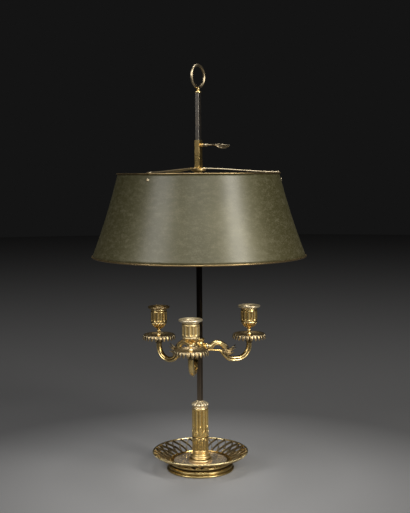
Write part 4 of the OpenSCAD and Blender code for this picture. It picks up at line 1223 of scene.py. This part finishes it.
def side_place(right, ahead, up):
    """A point in metres from its distances to the camera's right, ahead and up."""
    return RIGHT * right + AHEAD * ahead + Vector((0, 0, up))


def add_light(name, place, target, size, power, colour=(1, 1, 1)):
    data = bpy.data.lights.new(name, "AREA")
    data.shape = "RECTANGLE"
    data.size, data.size_y = size
    data.energy = power
    data.color = colour
    light = put_in_scene(name, data)
    light.location = place
    light.rotation_euler = (Vector(target) - Vector(place)).to_track_quat("-Z", "Y").to_euler()


def room():
    """A dim grey world and a round floor with a painted pool of light: pale near the lamp,
    darkening away from it.
    """
    world = bpy.data.worlds.new("studio")
    world.use_nodes = True
    background = world.node_tree.nodes["Background"].inputs
    background["Color"].default_value = (0.5, 0.5, 0.5, 1)
    background["Strength"].default_value = 0.014
    bpy.context.scene.world = world
    corners, radius = 96, 6
    mesh = bpy.data.meshes.new("floor")
    mesh.from_pydata([(radius * cos(t), radius * sin(t), 0) for t in circle(corners)], [],
                     [tuple(range(corners))])
    floor = put_in_scene("floor", mesh)
    material, tree, inputs = principled("pale floor", 0.0)
    inputs["Roughness"].default_value = 0.75
    # Painted light: the floor's colour fades from pale round the lamp to dark further off.
    away = add(tree, "ShaderNodeVectorMath", {0: object_place(tree), 1: side_place(0, -0.1, 0)},
               "Value", operation="DISTANCE")
    plug(inputs["Base Color"], blended(ramp(away, 0.1, 0.5), (0.29, 0.287, 0.283, 1),
                                       (0.085, 0.084, 0.083, 1)))
    mesh.materials.append(material)


def add_camera():
    data = bpy.data.cameras.new("camera")
    data.lens = 65.79
    data.sensor_width = 36
    camera = put_in_scene("camera", data)
    pitch, roll = 0.089, radians(0.36)
    ahead = AHEAD * cos(pitch) - Vector((0, 0, sin(pitch)))
    up = RIGHT.cross(ahead)
    right, up = RIGHT * cos(roll) - up * sin(roll), up * cos(roll) + RIGHT * sin(roll)
    rows = [(*row, place) for *row, place in zip(right, up, -ahead, CAMERA_PLACE)]
    camera.matrix_world = Matrix((*rows, (0, 0, 0, 1)))
    bpy.context.scene.camera = camera


room()
add_light("key", side_place(1.45, -1.4, 1.35), MIDDLE, (0.55, 1.6), 47, (1, 0.98, 0.95))
add_light("fill", side_place(-1.57, -1.32, 1.65), MIDDLE, (1.1, 1.4), 28, (0.98, 0.98, 1))
add_light("front", side_place(0.1, -2.3, 1.5), MIDDLE, (1.6, 0.7), 15)
add_light("top", side_place(0, 0.1, 2.7), (0, 0, 0), (0.6, 0.6), 14)
add_light("back", side_place(0.2, 1.1, 3.0), MIDDLE, (1.4, 0.8), 10)
add_camera()
bpy.context.scene.view_settings.view_transform = "Standard"
